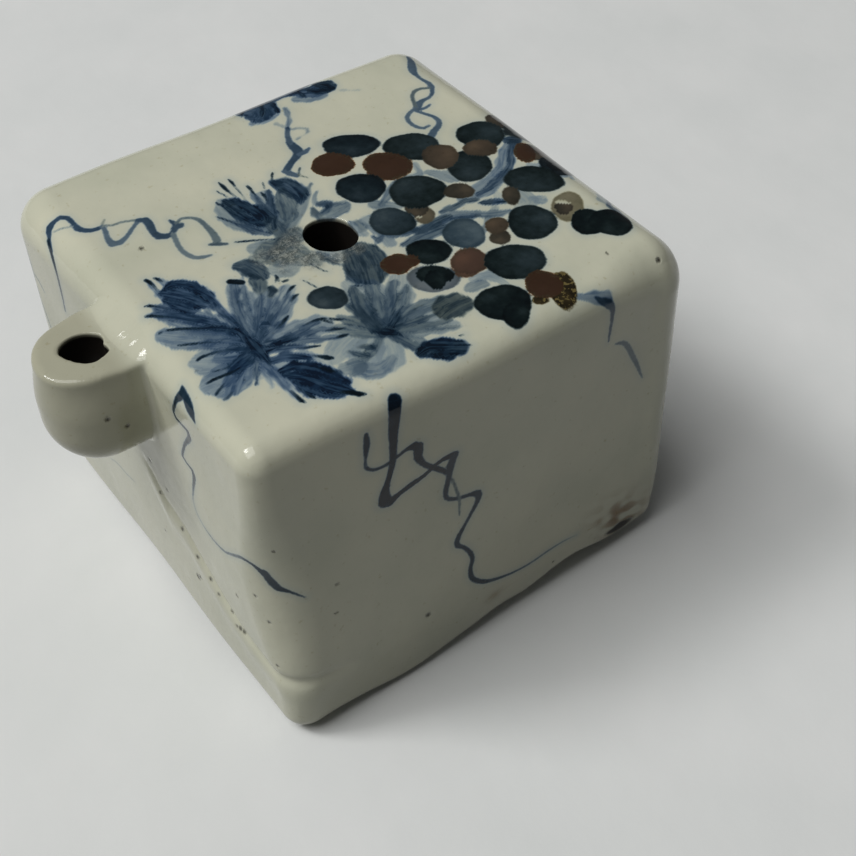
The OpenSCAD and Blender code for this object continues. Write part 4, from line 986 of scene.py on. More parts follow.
# Fruit: x, y, radii across and away as the camera looks, lean in degrees and pigment.
# Each lies over those before it.
GRAPES = [
    (9.3, 12.3, 3.9, 2.8, 0, "navy"),
    (4.9, 10.2, 2.8, 2.8, 0, "red_copper"),
    (15.9, 7.2, 3.8, 3.3, 0, "ink"),
    (10.6, 5.6, 3.3, 3.2, 0, "red_copper"),
    (29.2, 4.5, 2.3, 2.1, 10, "moss"),
    (25.1, 3.8, 3.5, 3.1, 0, "ink"),
    (19.4, -0.9, 3.1, 3.5, 10, "ink"),
    (23.1, 1.4, 2.3, 2.0, 0, "tobacco"),
    (17.6, 3.1, 2.4, 3.0, 0, "tobacco"),
    (28.6, -3.9, 2.2, 2.4, 0, "moss"),
    (27.4, -2.9, 1.5, 2.4, 0, "red_copper"),
    (29.8, -7.3, 2.6, 2.5, 0, "navy"),
    (24.4, -8.4, 4.1, 2.9, -14, "ink"),
    (24.2, -15.5, 2.1, 3.3, 0, "straw"),
    (23.6, -15.3, 1.1, 1.5, 0, "moss"),
    # A thin pale streak across this grape
    (24.2, -14.4, 1.0, 0.4, -8, "bare"),
    (19.8, -9.3, 1.2, 2.0, 0, "moss"),
    (18.4, -15.2, 3.3, 3.4, 0, "ink"),
    (13.2, -15.2, 1.4, 1.4, 0, "moss"),
    (14.3, -13.1, 1.5, 1.7, 0, "tobacco"),
    (24.3, -19.5, 2.3, 2.7, 0, "deep_ink"),
    (26.5, -21.2, 2.7, 2.8, 0, "deep_ink"),
    (8.2, -5.9, 1.4, 1.7, 0, "gold"),
    (7.6, -5.4, 0.6, 0.7, 0, "bare"),
    (8.4, -4.0, 1.6, 1.8, 0, "moss"),
    (10.5, -1.3, 3.8, 3.5, 0, "ink"),
    (14.9, -4.5, 2.0, 1.7, 0, "moss"),
    (5.0, 3.7, 3.2, 3.3, 0, "navy"),
    (4.1, -4.5, 3.0, 2.8, 0, "slate"),
    (10.0, -11.9, 2.8, 2.9, 0, "blue"),
    (4.3, -12.1, 3.0, 2.3, 0, "deep_ink"),
    (1.4, -12.3, 1.0, 1.2, 0, "red_copper"),
    (-0.4, -11.7, 1.9, 2.0, 0, "red_copper"),
    (1.6, -16.6, 3.2, 2.6, 0, "lilac"),
    (2.2, -16.1, 2.3, 1.7, 0, "deep_ink"),
    (1.7, -16.9, 1.3, 1.8, 0, "deep_ink"),
    (5.9, -17.6, 1.7, 1.5, 0, "rose_copper"),
    (7.2, -16.6, 2.5, 2.4, 12, "rose_copper"),
    (11.7, -20.0, 3.8, 3.4, -6, "ink"),
    (9.5, -27.4, 1.0, 0.8, 0, "soot"),
    (13.0, -27.4, 1.7, 3.2, 0, "soot"),
    (12.0, -28.6, 1.3, 1.6, 0, "soot"),
    (11.7, -25.4, 2.4, 2.5, 10, "red_copper"),
    (5.7, -25.1, 3.6, 3.2, 0, "deep_ink"),
    (5.5, -27.7, 1.6, 2.2, 0, "deep_ink"),
    (-10.7, -11.9, 2.4, 2.2, -12, "slate"),
]
# On the unseen right face three grapes hang over the edge: y, z, radii, lean and pigment
GRAPES_BEHIND = [
    (2.4, 49.6, 2.6, 2.4, 0, "ink"),
    (-3.0, 48.8, 2.3, 2.2, 0, "red_copper"),
    (-7.6, 49.4, 2.4, 2.5, 0, "navy"),
]
# Pits in the glaze, dark pinpricks with a dip: plane, place and radius
PITS = [
    ("front", -11.4, 10.7, 0.5), ("front", -24.7, 27.6, 0.22), ("front", -32.3, 39.3, 0.25),
    ("front", -25.2, 22.3, 0.16), ("front", 10.8, 5.2, 0.14),
    ("left", 10.2, 11.7, 0.62), ("left", 10.9, 12.4, 0.35), ("left", 11.3, 17.1, 0.36),
    ("left", 14.3, 15.5, 0.36), ("left", 7.9, 19.6, 0.38), ("left", 16.1, 14.1, 0.26),
    ("left", 19.5, 14.1, 0.26), ("left", 21.2, 12.2, 0.4), ("left", 22.2, 12.6, 0.36),
    ("left", 20.2, 11.6, 0.22), ("left", 27.2, 26.0, 0.26), ("left", 30.0, 23.7, 0.24),
    ("left", 21.8, 20.1, 0.32), ("left", 1.5, 27.6, 0.4), ("left", 5.4, 25.2, 0.22),
    ("left", 2.8, 22.2, 0.26), ("left", 1.5, 12.9, 0.24), ("left", 30.6, 15.0, 0.2),
    ("top", 21.9, -25.6, 0.14), ("top", 26.1, -30.4, 0.32), ("top", -24.1, 9.7, 0.28),
]
# On the walls the glaze closed over them, to this share of their radius
WALL_PIT_SHARE = 0.7
# Two more on the spout, as places in mm
SPOUT_PITS = [(-38.9, -6.9, 43.3), (-36.8, -6.9, 41.1)]
# The dry crust by the air hole: spots of x, y, reach and strength
CRUST = [
    (-10.2, -2.0, 2.4, 0.85), (-8.2, -4.6, 1.8, 0.8), (-8.4, -0.2, 1.8, 0.7), (-5.2, -6.2, 1.3, 0.7),
    (-12.6, -0.8, 1.6, 0.55), (-2.6, -6.0, 1.2, 0.5), (-6.6, 1.4, 1.2, 0.45), (-11.8, -4.4, 1.2, 0.5),
]


# Reach of a stroke's stain in the glaze round it, and the least depth that counts, in mm
STAIN_REACH = 1.3
FAR_OUT = -STAIN_REACH
# How much a wash darkens a deeper one that it crosses
LAYERING = 0.45


def flowing(points, step=0.7):
    """A smooth run of rows through the listed points of a stroke."""
    rows = np.array([(*p, 1.0)[:4] for p in points], float)
    if len(rows) < 3:
        return rows
    padded = np.vstack([2 * rows[0] - rows[1], rows, 2 * rows[-1] - rows[-2]])
    run = []
    for i in range(1, len(padded) - 2):
        a, b, c, d = padded[i - 1:i + 3]
        count = max(1, round(np.hypot(*(c - b)[:2]) / step))
        for k in range(count):
            t = k / count
            run.append(0.5 * (2 * b + (c - a) * t + (2 * a - 5 * b + 4 * c - d) * t * t
                              + (3 * b - 3 * c + d - a) * t**3))
    run.append(rows[-1])
    run = np.array(run)
    run[:, 2:] = np.clip(run[:, 2:], 0.05, None)
    return run


def on_skin(plane, u, v, skin):
    """The place on the box, in mm, that is seen at a place on a reading plane."""
    target = Vector(READING_PLANES[plane](u, v)) * MM
    hit = None
    if plane in SEEN_PLANES:
        hit = skin.ray_cast(CAMERA, (target - CAMERA).normalized())[0]
    if hit is None or (hit - target).length > 12 * MM:
        hit = skin.find_nearest(target)[0]
    return hit / MM


def depth_in(places, path, facing=(0, 0, 1)):
    """How deep the places near a stroke lie in it, in mm, with the share of pigment there, and
    where they lie across the brush and along its way, in mm."""
    centres, radii, share = path
    reach = STAIN_REACH + radii.max()
    low, high = centres.min(0) - reach, centres.max(0) + reach
    near = np.flatnonzero(np.all((places > low) & (places < high), axis=1))
    p = places[near]
    depth = np.full(len(near), FAR_OUT)
    load, across, along = np.zeros((3, len(near)))
    travelled = 0.0
    for i in range(len(centres) - 1):
        way = centres[i + 1] - centres[i]
        length = max(np.linalg.norm(way), 1e-6)
        side = np.cross(facing, way / length)
        offset = p - centres[i]
        t = np.clip(offset @ way / length**2, 0, 1)
        half = radii[i] + t * (radii[i + 1] - radii[i])
        inside = half - np.linalg.norm(offset - t[:, None] * way, axis=1)
        better = inside > depth
        depth = np.where(better, inside, depth)
        load = np.where(better, share[i] + t * (share[i + 1] - share[i]), load)
        across = np.where(better, offset @ side / half * radii.max(), across)
        along = np.where(better, travelled + t * length, along)
        travelled += length
    return near, depth, load, across, along


def laid(plane, points, skin):
    """A stroke's centres on the box, its half widths and its load."""
    run = flowing(points)
    return np.array([on_skin(plane, u, v, skin) for u, v in run[:, :2]]), run[:, 2] / 2, run[:, 3]


def grain(places, size, seed):
    """A smooth uneven field from 0 to 1 with features of about that size in mm."""
    rng = np.random.default_rng(seed)
    total = np.zeros(len(places))
    for _ in range(7):
        way = rng.normal(size=3)
        way *= rng.uniform(0.6, 1.5) / (np.linalg.norm(way) * size) * math.pi
        total += np.sin(places @ way + rng.uniform(0, 2 * math.pi))
    return np.clip(0.5 + total / 7, 0, 1)


def paint(places, skin):
    """Pigments of each layer at the places, in mm, as the attributes that the glaze reads."""
    wash, flow, crisp = np.zeros((3, len(places), 4))
    crisp[:, 3] = FAR_OUT
    fruit = crisp.copy()
    most, margin = np.zeros((2, len(places)))
    ragged = grain(places, 1.0, 5) - 0.5
    washes = LEAF_BY_SPOUT + LEAF_BY_HOLE + ROUND_THE_HOLE + LEAF_IN_FRONT + STEM + BACK_LEAF
    for index, (cobalt, iron, points) in enumerate(washes):
        near, depth, load, across, along = depth_in(places, laid("top", points, skin))
        cover = smooth_step(-0.12, 0.22, depth + 0.36 * ragged[near]) * load
        amount = cobalt * cover
        leading = amount > most[near]
        behind = np.minimum(margin[near], most[near] - amount)
        margin[near] = np.where(leading, amount - most[near], behind)
        turn = np.full(len(near), 0.37 * index)
        flow[near[leading]] = np.stack([across, along, turn, amount], 1)[leading]
        most[near] = np.maximum(most[near], amount)
        more, less = np.maximum(wash[near, 0], amount), np.minimum(wash[near, 0], amount)
        wash[near, 0] = more + LAYERING * less * (1 - more)
        # Thin pigment carries less iron
        wash[near, 1] += (iron * min(1, 1.6 * cobalt) - wash[near, 1]) * cover * 0.8
        wash[near, 3] = np.maximum(wash[near, 3], cobalt * smooth_step(FAR_OUT, 0.3, depth))
    # The hairs' streaks fade out where two strokes meet
    flow[:, 3] = smooth_step(0.0, 0.05, margin)
    for plane, cobalt, iron, points in TENDRILS + [("top", *tip) for tip in TIPS] + BEHIND:
        near, depth, load, _, _ = depth_in(places, laid(plane, points, skin))
        over = (depth > 0) | (depth > crisp[near, 3])
        mine = near[over]
        crisp[mine, 0] = cobalt * load[over]
        crisp[mine, 1] = iron * load[over]
        crisp[near, 3] = np.maximum(crisp[near, 3], depth)
        wash[near, 3] = np.maximum(wash[near, 3], cobalt * smooth_step(FAR_OUT, 0.3, depth))
    fruits = [("top", *g) for g in GRAPES] + [("right", *g) for g in GRAPES_BEHIND]
    for index, (plane, u, v, wide, high, lean, pigment) in enumerate(fruits):
        cobalt, iron, copper = PIGMENTS[pigment]
        offset = places - np.array(on_skin(plane, u, v, skin))
        near = np.flatnonzero(np.linalg.norm(offset, axis=1) < max(wide, high) * 1.3 + STAIN_REACH)
        a = CAMERA_AZIMUTH + math.radians(lean)
        axes = {"top": [(math.cos(a), math.sin(a), 0), (-math.sin(a), math.cos(a), 0)],
                "right": [(0, 1, 0), (0, 0, 1)]}[plane]
        spot = offset[near] @ np.array(axes).T / (wide, high)
        angle = np.arctan2(spot[:, 1], spot[:, 0])
        lumpy = 1 + 0.04 * np.sin(2 * angle + index) + 0.035 * np.sin(3 * angle + 2.3 * index)
        lumpy += 0.015 * np.sin(7 * angle + 1.7 * index)
        share = np.hypot(*spot.T) / lumpy
        depth = (1 - share) * min(wide, high)
        over = (depth > 0) | (depth > fruit[near, 3])
        mine = near[over]
        # Each grape is fuller on one side, where the brush was lifted, and thin in a spot opposite
        lifted = np.array([math.sin(index * 2.1), math.cos(index * 2.1)])
        fuller = np.clip(spot[over] @ lifted, -1, 1)
        thin = np.exp(-np.sum((spot[over] + 0.4 * lifted)**2, axis=1) / 0.14)
        pooled = 0.05 * fuller + 0.06 * smooth_step(0.7, 1.0, share[over]) - 0.06 * thin
        fruit[mine, 0] = np.clip(cobalt + (cobalt > 0.2) * pooled, 0, 1)
        fruit[mine, 1] = np.clip(iron + pooled, 0, 1)
        fruit[mine, 2] = copper
        fruit[near, 3] = np.maximum(fruit[near, 3], depth)
        wash[near, 3] = np.maximum(wash[near, 3], cobalt * smooth_step(FAR_OUT, 0.3, depth))
    return wash, flow, crisp, fruit


def dist(places, u, v, w=None):
    """Distance of the places from a point, in mm."""
    return np.linalg.norm(places - np.array([u, v, BOX_TOP / MM if w is None else w]), axis=1)


def faults_and_hole_shade(places, skin):
    """Faults at the places: dry crust, pits, rusty halo and burn, and painted shade down the inside of
    the air hole and the mouth.
    """
    marks = np.zeros((len(places), 4))
    x, y, z = places.T
    for u, v, reach, amount in CRUST:
        spot = smooth_step(reach * 1.5, reach * 0.3, dist(places, u, v))
        marks[:, 0] = np.maximum(marks[:, 0], amount * spot)
    marks[:, 0] *= smooth_step(0.25, 0.6, grain(places, 0.9, 3)) * 0.5 + 0.5
    for plane, u, v, radius in PITS:
        middle = np.array(on_skin(plane, u, v, skin))
        away = np.linalg.norm(places - middle, axis=1)
        size = radius * (1.0 if plane == "top" else WALL_PIT_SHARE)
        marks[:, 1] = np.maximum(marks[:, 1], smooth_step(size + 0.2, max(size - 0.2, 0), away))
    front = smooth_step(-HALF_D / MM + 3, -HALF_D / MM + 1, y)
    scar = np.exp(-((x - 22.8) / 4.6) ** 2 - ((z - 7.4 + 0.35 * (x - 22.8)) / 3.4) ** 2)
    marks[:, 2] = front * scar * smooth_step(0.2, 0.8, grain(places, 1.7, 9)) * 1.3
    marks[:, 2] += front * 0.5 * np.exp(-((x + 0.4) / 1.5) ** 2 - ((z - 6.7) / 1.0) ** 2)
    # Painted shade: below their rims the walls of the air hole and the mouth take the burn's near-black
    for hole, reach in ((AIR_HOLE, 4.2), (PIERCED, 3.6)):
        inside = np.hypot(x - hole.x / MM, y - hole.y / MM) < reach
        marks[:, 3] = np.maximum(marks[:, 3], inside * smooth_step(0.15, 0.5, hole.z / MM - z))
    for pit in SPOUT_PITS:
        marks[:, 1] = np.maximum(marks[:, 1], smooth_step(0.48, 0.12, dist(places, *pit)))
    burn_and_hole_shade = np.hypot((x - 23.2) / 2.4, (z - 4.4 + 0.1 * (x - 23.2)) / 0.95)
    marks[:, 3] += front * smooth_step(1.25, 0.7, burn_and_hole_shade + 0.5 * (grain(places, 1.0, 4) - 0.5))
    return marks


def decorate(pieces, skin):
    """Lays the paint, the faults and the painted shade of the holes on the pieces as attributes of
    their places.
    """
    counts = [len(p.data.vertices) for p in pieces]
    places = np.concatenate([places_of(p) for p in pieces]) / MM
    layers = dict(zip(("paint_wash", "paint_flow", "paint_crisp", "paint_fruit"), paint(places, skin)))
    layers["glaze_faults_and_hole_shade"] = faults_and_hole_shade(places, skin)
    for name, values in layers.items():
        for piece, part in zip(pieces, np.split(values, np.cumsum(counts)[:-1])):
            layer = piece.data.attributes.new(name, "FLOAT_COLOR", "POINT")
            layer.data.foreach_set("color", part.astype(np.float32).ravel())


# Materials
def linear(hex_colour, alpha=1.0):
    """An sRGB hex colour as the linear RGBA that a shader takes."""
    parts = [int(hex_colour[i:i + 2], 16) / 255 for i in (0, 2, 4)]
    return (*[c / 12.92 if c <= 0.04045 else ((c + 0.055) / 1.055) ** 2.4 for c in parts], alpha)


def add_node(tree, kind, links=None, **settings):
    """Adds a node. links sets its inputs, each from a socket or to a value."""
    made = tree.nodes.new(kind)
    for key, value in settings.items():
        setattr(made, key, value)
    for key, value in (links or {}).items():
        if isinstance(value, bpy.types.NodeSocket):
            tree.links.new(value, made.inputs[key])
        else:
            made.inputs[key].default_value = value
    return made


def new_material(name):
    """An empty node material, its shader and its tree."""
    material = bpy.data.materials.new(name)
    material.use_nodes = True
    tree = material.node_tree
    tree.nodes.clear()
    shader = add_node(tree, "ShaderNodeBsdfPrincipled")
    add_node(tree, "ShaderNodeOutputMaterial", {"Surface": shader.outputs[0]})
    return material, tree, shader


def math_node(tree, operation, first, second=None, third=None, clamp=False):
    """The result of one sum on sockets or numbers."""
    links = {i: v for i, v in enumerate((first, second, third)) if v is not None}
    return add_node(tree, "ShaderNodeMath", links, operation=operation, use_clamp=clamp).outputs[0]


def ramp(tree, share, stops):
    """A colour that follows the share through (place, hex colour) stops."""
    made = add_node(tree, "ShaderNodeValToRGB", {"Fac": share})
    while len(made.color_ramp.elements) < len(stops):
        made.color_ramp.elements.new(1.0)
    for element, (place, colour) in zip(made.color_ramp.elements, stops):
        element.position = place
        element.color = linear(colour)
    return made.outputs["Color"]


def mix(tree, kind, share, first, second):
    """Two colours put together."""
    made = add_node(tree, "ShaderNodeMix", data_type="RGBA", blend_type=kind)
    for socket, value in (("Factor_Float", share), ("A_Color", first), ("B_Color", second)):
        target = next(i for i in made.inputs if i.identifier == socket)
        if isinstance(value, bpy.types.NodeSocket):
            tree.links.new(value, target)
        else:
            target.default_value = value
    return next(o for o in made.outputs if o.identifier == "Result_Color")


def soft_step(tree, value, low, high, start=0.0, end=1.0):
    """The value's smooth way from low to high, as start to end."""
    links = {"Value": value, "From Min": low, "From Max": high, "To Min": start, "To Max": end}
    made = add_node(tree, "ShaderNodeMapRange", links, interpolation_type="SMOOTHSTEP")
    return made.outputs["Result"]


def object_mm(tree):
    """Object coordinates in mm."""
    place = add_node(tree, "ShaderNodeTexCoord").outputs["Object"]
    scaled = add_node(tree, "ShaderNodeVectorMath", {0: place, "Scale": 1 / MM}, operation="SCALE")
    return scaled.outputs["Vector"]


def noise(tree, place, size, detail=3.0, roughness=0.5):
    """Uneven noise whose features are about that many mm across."""
    links = {"Vector": place, "Scale": 1 / size, "Detail": detail, "Roughness": roughness}
    return add_node(tree, "ShaderNodeTexNoise", links).outputs["Fac"]


def layer_of(tree, name):
    """The four numbers of one painted attribute."""
    source = add_node(tree, "ShaderNodeAttribute", attribute_name=name)
    parts = add_node(tree, "ShaderNodeSeparateColor", {0: source.outputs["Color"]})
    return [*parts.outputs, source.outputs["Alpha"]]


# What each pigment does to the glaze's colour as more of it lies there
COBALT = [(0.0, "ffffff"), (0.12, "e2ecfb"), (0.3, "b3c6e6"), (0.5, "8099c4"), (0.68, "506c9c"),
          (0.84, "2e4b75"), (0.94, "1d3861"), (1.0, "132545")]
IRON = [(0.0, "ffffff"), (0.25, "ece6d4"), (0.5, "cdc4aa"), (0.75, "96906f"), (1.0, "5c5742")]
COPPER = [(0.0, "ffffff"), (0.3, "c9a994"), (0.6, "946a58"), (0.85, "745044"), (1.0, "64463b")]
# How fine the brush's streaks are across a wash and along it, in mm
HAIR_ACROSS = 0.5
HAIR_ALONG = 3.6


def glazed_porcelain():
    """Clear feldspar glaze over grey-white clay, with the underglaze painting: wet gloss, faintly
    green, a little rippled, with pinholes, a crust by the air hole and painted shade inside the holes."""
    material, tree, shader = new_material("glazed_porcelain")
    place = object_mm(tree)
    wash_cobalt, wash_iron, _, stain = layer_of(tree, "paint_wash")
    crisp_cobalt, crisp_iron, _, crisp_depth = layer_of(tree, "paint_crisp")
    grape_cobalt, grape_iron, grape_copper, grape_depth = layer_of(tree, "paint_fruit")
    crust, pit, rust, burn_and_hole_shade = layer_of(tree, "glaze_faults_and_hole_shade")
    fine = noise(tree, place, 0.45, 4.0, 0.6)
    ragged = math_node(tree, "MULTIPLY_ADD", fine, 0.26, -0.13)
    crisp_cover = soft_step(tree, math_node(tree, "ADD", crisp_depth, ragged), -0.17, 0.19)
    # Copper bled and bubbled, so its edge is rougher
    bleed = math_node(tree, "MULTIPLY", ragged, math_node(tree, "MULTIPLY_ADD", grape_copper, 1.0, 1.0))
    grape_cover = soft_step(tree, math_node(tree, "ADD", grape_depth, bleed), -0.15, 0.19)
    # The brush's hairs left streaks along the washes
    across, along, turn, streaky = layer_of(tree, "paint_flow")
    hairs = add_node(tree, "ShaderNodeCombineXYZ", {
        "X": math_node(tree, "MULTIPLY", across, 1 / HAIR_ACROSS),
        "Y": math_node(tree, "MULTIPLY", along, 1 / HAIR_ALONG),
        "Z": turn,
    })
    streak = soft_step(tree, noise(tree, hairs.outputs[0], 1.0, 2.0, 0.6), 0.34, 0.66, -0.17, 0.12)
    streak = math_node(tree, "MULTIPLY_ADD", streak, streaky, 1.0)
    wash_cobalt = math_node(tree, "MULTIPLY", wash_cobalt, streak, clamp=True)
    # Strokes darken what is under them, and a grape hides it
    pooled = noise(tree, place, 1.6, 3.0, 0.6)
    uneven = math_node(tree, "MULTIPLY_ADD", pooled, 0.34, 0.83)
    clear_wash = math_node(tree, "SUBTRACT", 1.0, wash_cobalt)
    crisp = math_node(tree, "MULTIPLY", crisp_cobalt, crisp_cover)
    left = math_node(tree, "MULTIPLY", clear_wash, math_node(tree, "SUBTRACT", 1.0, crisp))
    strokes = math_node(tree, "SUBTRACT", 1.0, left)
    stained = math_node(tree, "MAXIMUM", strokes, math_node(tree, "MULTIPLY", stain, 0.09))
    cobalt = blend(tree, grape_cover, stained, grape_cobalt)
    cobalt = math_node(tree, "MULTIPLY", cobalt, uneven, clamp=True)
    iron = math_node(tree, "MAXIMUM", wash_iron, math_node(tree, "MULTIPLY", crisp_iron, crisp_cover))
    iron = math_node(tree, "MULTIPLY", blend(tree, grape_cover, iron, grape_iron), uneven, clamp=True)
    copper = math_node(tree, "MULTIPLY", grape_copper, grape_cover)
    # Body: grey-white with a green cast, cloudier in places
    cloud = noise(tree, place, 14.0, 3.0, 0.55)
    body = ramp(tree, cloud, [(0.3, "b6b7a3"), (0.5, "bdbda9"), (0.72, "c3c2ad")])
    freckle = noise(tree, place, 0.8, 2.0, 0.5)
    freckles = ramp(tree, freckle, [(0.0, "ffffff"), (0.66, "ffffff"), (0.78, "eeeae0")])
    body = mix(tree, "MULTIPLY", 1.0, body, freckles)
    body = mix(tree, "MULTIPLY", 1.0, body, ramp(tree, cobalt, COBALT))
    body = mix(tree, "MULTIPLY", 1.0, body, ramp(tree, iron, IRON))
    body = mix(tree, "MULTIPLY", 1.0, body, ramp(tree, copper, COPPER))
    # Copper burnt to olive specks at the rim of its grapes
    rim = soft_step(tree, grape_depth, 0.9, -0.15)
    speck = soft_step(tree, noise(tree, place, 0.5, 3.0, 0.7), 0.47, 0.6)
    olive = math_node(tree, "MULTIPLY", math_node(tree, "MULTIPLY", rim, speck), copper)
    body = mix(tree, "MIX", olive, body, linear("3a3526"))
    # Where the iron lies thickest it boiled up in ochre grains
    boiled = soft_step(tree, math_node(tree, "SUBTRACT", grape_iron, grape_cobalt), 0.46, 0.56)
    ochre = math_node(tree, "MULTIPLY", boiled, grape_cover)
    grainy = soft_step(tree, noise(tree, place, 0.62, 3.0, 0.6), 0.52, 0.6)
    body = mix(tree, "MIX", math_node(tree, "MULTIPLY", ochre, grainy), body, linear("625734"))
    # Faults
    crusty = soft_step(tree, noise(tree, place, 0.55, 4.0, 0.75), 0.40, 0.62)
    crust_tone = ramp(tree, crusty, [(0.0, "4a4f4a"), (0.5, "737870"), (1.0, "9da095")])
    body = mix(tree, "MIX", math_node(tree, "MULTIPLY", crust, 0.85), body, crust_tone)
    rusty = math_node(tree, "MULTIPLY", rust, 0.75, clamp=True)
    body = mix(tree, "MULTIPLY", rusty, body, linear("c3a07c"))
    # The glaze lies thicker and greyer on the spout
    run_down = add_node(tree, "ShaderNodeSeparateXYZ", {0: place}).outputs[0]
    thick = soft_step(tree, run_down, -33.0, -36.5, 0.0, 0.75)
    thick = math_node(tree, "MULTIPLY_ADD", cloud, 0.5, thick, clamp=True)
    thick = math_node(tree, "MULTIPLY", thick, soft_step(tree, run_down, -33.0, -35.0))
    body = mix(tree, "MULTIPLY", thick, body, linear("dedcd8"))
    # Near-black for the burn scar, and as painted shade down the inside of the air hole and the mouth
    body = mix(tree, "MIX", burn_and_hole_shade, body, linear("15110d"))
    body = mix(tree, "MIX", math_node(tree, "MULTIPLY", pit, 0.92), body, linear("241f18"))
    tree.links.new(body, shader.inputs["Base Color"])
    # Gloss: wet, dulled on the crust, the burn and the shaded walls of the holes
    gloss = soft_step(tree, cloud, 0.3, 0.7, 0.07, 0.12)
    dull = math_node(tree, "MAXIMUM", math_node(tree, "MULTIPLY", crust, 0.8), burn_and_hole_shade)
    rough = math_node(tree, "MULTIPLY_ADD", dull, 0.45, gloss)
    tree.links.new(rough, shader.inputs["Roughness"])
    shader.inputs["IOR"].default_value = 1.5
    shader.inputs["Specular IOR Level"].default_value = 0.28
    # Relief in mm: slow ripples, orange peel, the crust's grains and the pits
    ripple = math_node(tree, "MULTIPLY", noise(tree, place, 9.0, 2.0, 0.5), 0.10)
    peel = math_node(tree, "MULTIPLY", noise(tree, place, 1.3, 2.0, 0.5), 0.006)
    rough_skin = math_node(tree, "ADD", crust, math_node(tree, "MULTIPLY", rust, 1.6))
    grains = math_node(tree, "MULTIPLY", math_node(tree, "MULTIPLY", crusty, rough_skin), 0.09)
    dimple = math_node(tree, "MULTIPLY", noise(tree, place, 3.6, 2.0, 0.5), 0.10)
    slow, quick = math_node(tree, "ADD", ripple, peel), math_node(tree, "ADD", dimple, grains)
    height = math_node(tree, "ADD", slow, quick)
    height = math_node(tree, "MULTIPLY_ADD", pit, -0.22, height)
    relief = add_node(tree, "ShaderNodeBump", {"Height": height, "Distance": MM, "Strength": 1.0})
    tree.links.new(relief.outputs[0], shader.inputs["Normal"])
    return material


def blend(tree, share, first, second):
    """A number between two others."""
    return math_node(tree, "MULTIPLY_ADD", share, math_node(tree, "SUBTRACT", second, first), first)


def fired_clay():
    """Unglazed fired clay inside the box and under it: dry, sandy and warm grey."""
    material, tree, shader = new_material("fired_clay")
    place = object_mm(tree)
    sand = noise(tree, place, 0.6, 4.0, 0.65)
    patchy = noise(tree, place, 9.0, 3.0, 0.5)
    tone = ramp(tree, sand, [(0.25, "776a59"), (0.5, "8d7f6c"), (0.75, "a09381")])
    tone = mix(tree, "MULTIPLY", 1.0, tone, ramp(tree, patchy, [(0.3, "d8d0c6"), (0.7, "ffffff")]))
    tree.links.new(tone, shader.inputs["Base Color"])
    shader.inputs["Roughness"].default_value = 0.9
    relief = add_node(tree, "ShaderNodeBump", {"Height": sand, "Distance": 0.08 * MM, "Strength": 1.0})
    tree.links.new(relief.outputs[0], shader.inputs["Normal"])
    return material


def table_paper():
    """The pale, faintly woven sheet that the object stands on."""
    material, tree, shader = new_material("table_paper")
    place = object_mm(tree)
    cloud = noise(tree, place, 30.0, 3.0, 0.55)
    tone = ramp(tree, cloud, [(0.3, "d3d5d3"), (0.7, "d9dad8")])
    # The sheet is small in a dark room, so it throws only half of its light back on to the object
    path = add_node(tree, "ShaderNodeLightPath").outputs
    seen = math_node(tree, "MAXIMUM", path["Is Camera Ray"], path["Is Glossy Ray"])
    seen = math_node(tree, "MAXIMUM", seen, path["Is Transmission Ray"])
    tone = mix(tree, "MIX", seen, linear("9c9d9b"), tone)
    tree.links.new(tone, shader.inputs["Base Color"])
    shader.inputs["Roughness"].default_value = 0.85
    shader.inputs["Specular IOR Level"].default_value = 0.2
    wrinkle = math_node(tree, "MULTIPLY", noise(tree, place, 26.0, 3.0, 0.5), 0.5)
    tooth = math_node(tree, "MULTIPLY_ADD", noise(tree, place, 1.2, 3.0, 0.6), 0.02, wrinkle)
    relief = add_node(tree, "ShaderNodeBump", {"Height": tooth, "Distance": MM, "Strength": 1.0})
    tree.links.new(relief.outputs[0], shader.inputs["Normal"])
    return material


def make_floor():
    """The table, which belongs to the stage only."""
    bpy.ops.object.select_all(action="DESELECT")
    bpy.ops.mesh.primitive_plane_add(size=6)
    floor = bpy.context.object
    floor.name = "floor"
    floor.data.materials.append(table_paper())


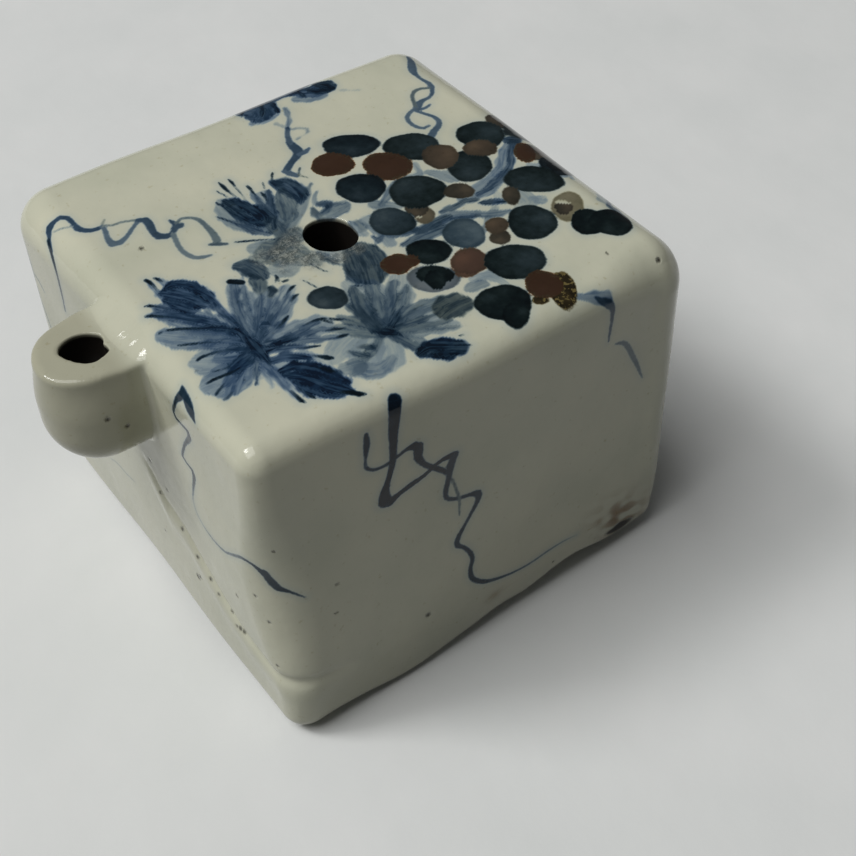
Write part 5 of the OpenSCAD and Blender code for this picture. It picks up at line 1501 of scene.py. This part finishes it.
def add_lamp(name, azimuth, elevation, distance, size, power, tint="ffffff"):
    """A square studio lamp that faces the object. Azimuth 0 stands in front, along -Y."""
    a, e = math.radians(azimuth), math.radians(elevation)
    way = Vector((math.sin(a) * math.cos(e), -math.cos(a) * math.cos(e), math.sin(e)))
    lamp = bpy.data.objects.new(name, bpy.data.lights.new(name, "AREA"))
    bpy.context.collection.objects.link(lamp)
    lamp.data.size = size
    lamp.data.energy = power
    lamp.data.color = linear(tint)[:3]
    lamp.location = way * distance
    lamp.rotation_mode = "QUATERNION"
    lamp.rotation_quaternion = way.to_track_quat("Z", "Y")
    return lamp


def light_studio():
    """A window behind the object on its left, a soft sky high on the same side and a dim room."""
    add_lamp("window", -127, 50, 3.0, 0.74, 28.0)
    add_lamp("soft_sky", -107, 62, 3.0, 2.0, 63.0)
    world = bpy.data.worlds.new("studio")
    bpy.context.scene.world = world
    world.use_nodes = True
    sky = world.node_tree.nodes["Background"]
    sky.inputs["Color"].default_value = linear("f2f4f6")
    sky.inputs["Strength"].default_value = 0.085
    bpy.context.scene.view_settings.view_transform = "Standard"


def dress(piece, node, materials):
    """Puts the materials on a piece and ties it to its CAD node."""
    piece.data.materials.clear()
    for material in materials:
        piece.data.materials.append(material)
    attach(piece, ROOT)
    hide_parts(node)


def main():
    """Builds the pieces, paints and dresses them, and sets the stage."""
    slabs = make_slabs()
    skin = skin_tree(slabs.values())
    spout = make_spout()
    root = make_root(skin, skin_tree([spout]))
    drill([slabs["top_slab"]], pierced_hole("air_hole_cutter", AIR_HOLE, AIR_HOLE_OUTLINE, 8 * MM))
    drill([spout], pierced_hole("mouth_cutter", PIERCED, MOUTH_OUTLINE, 5.6 * MM))
    drill_channel([spout, slabs["left_wall"]])
    decorate([*slabs.values(), spout, root], skin)
    glaze, clay = glazed_porcelain(), fired_clay()
    for name, piece in slabs.items():
        dress(piece, name, [glaze, clay])
    dress(spout, "spout", [glaze])
    dress(root, "spout_root_roll", [glaze])
    for name in ("corner_seam_rolls", "top_seam_roll"):
        inside = frame["nodes"][name]
        inside.data.materials.clear()
        inside.data.materials.append(clay)
    make_floor()
    light_studio()


main()
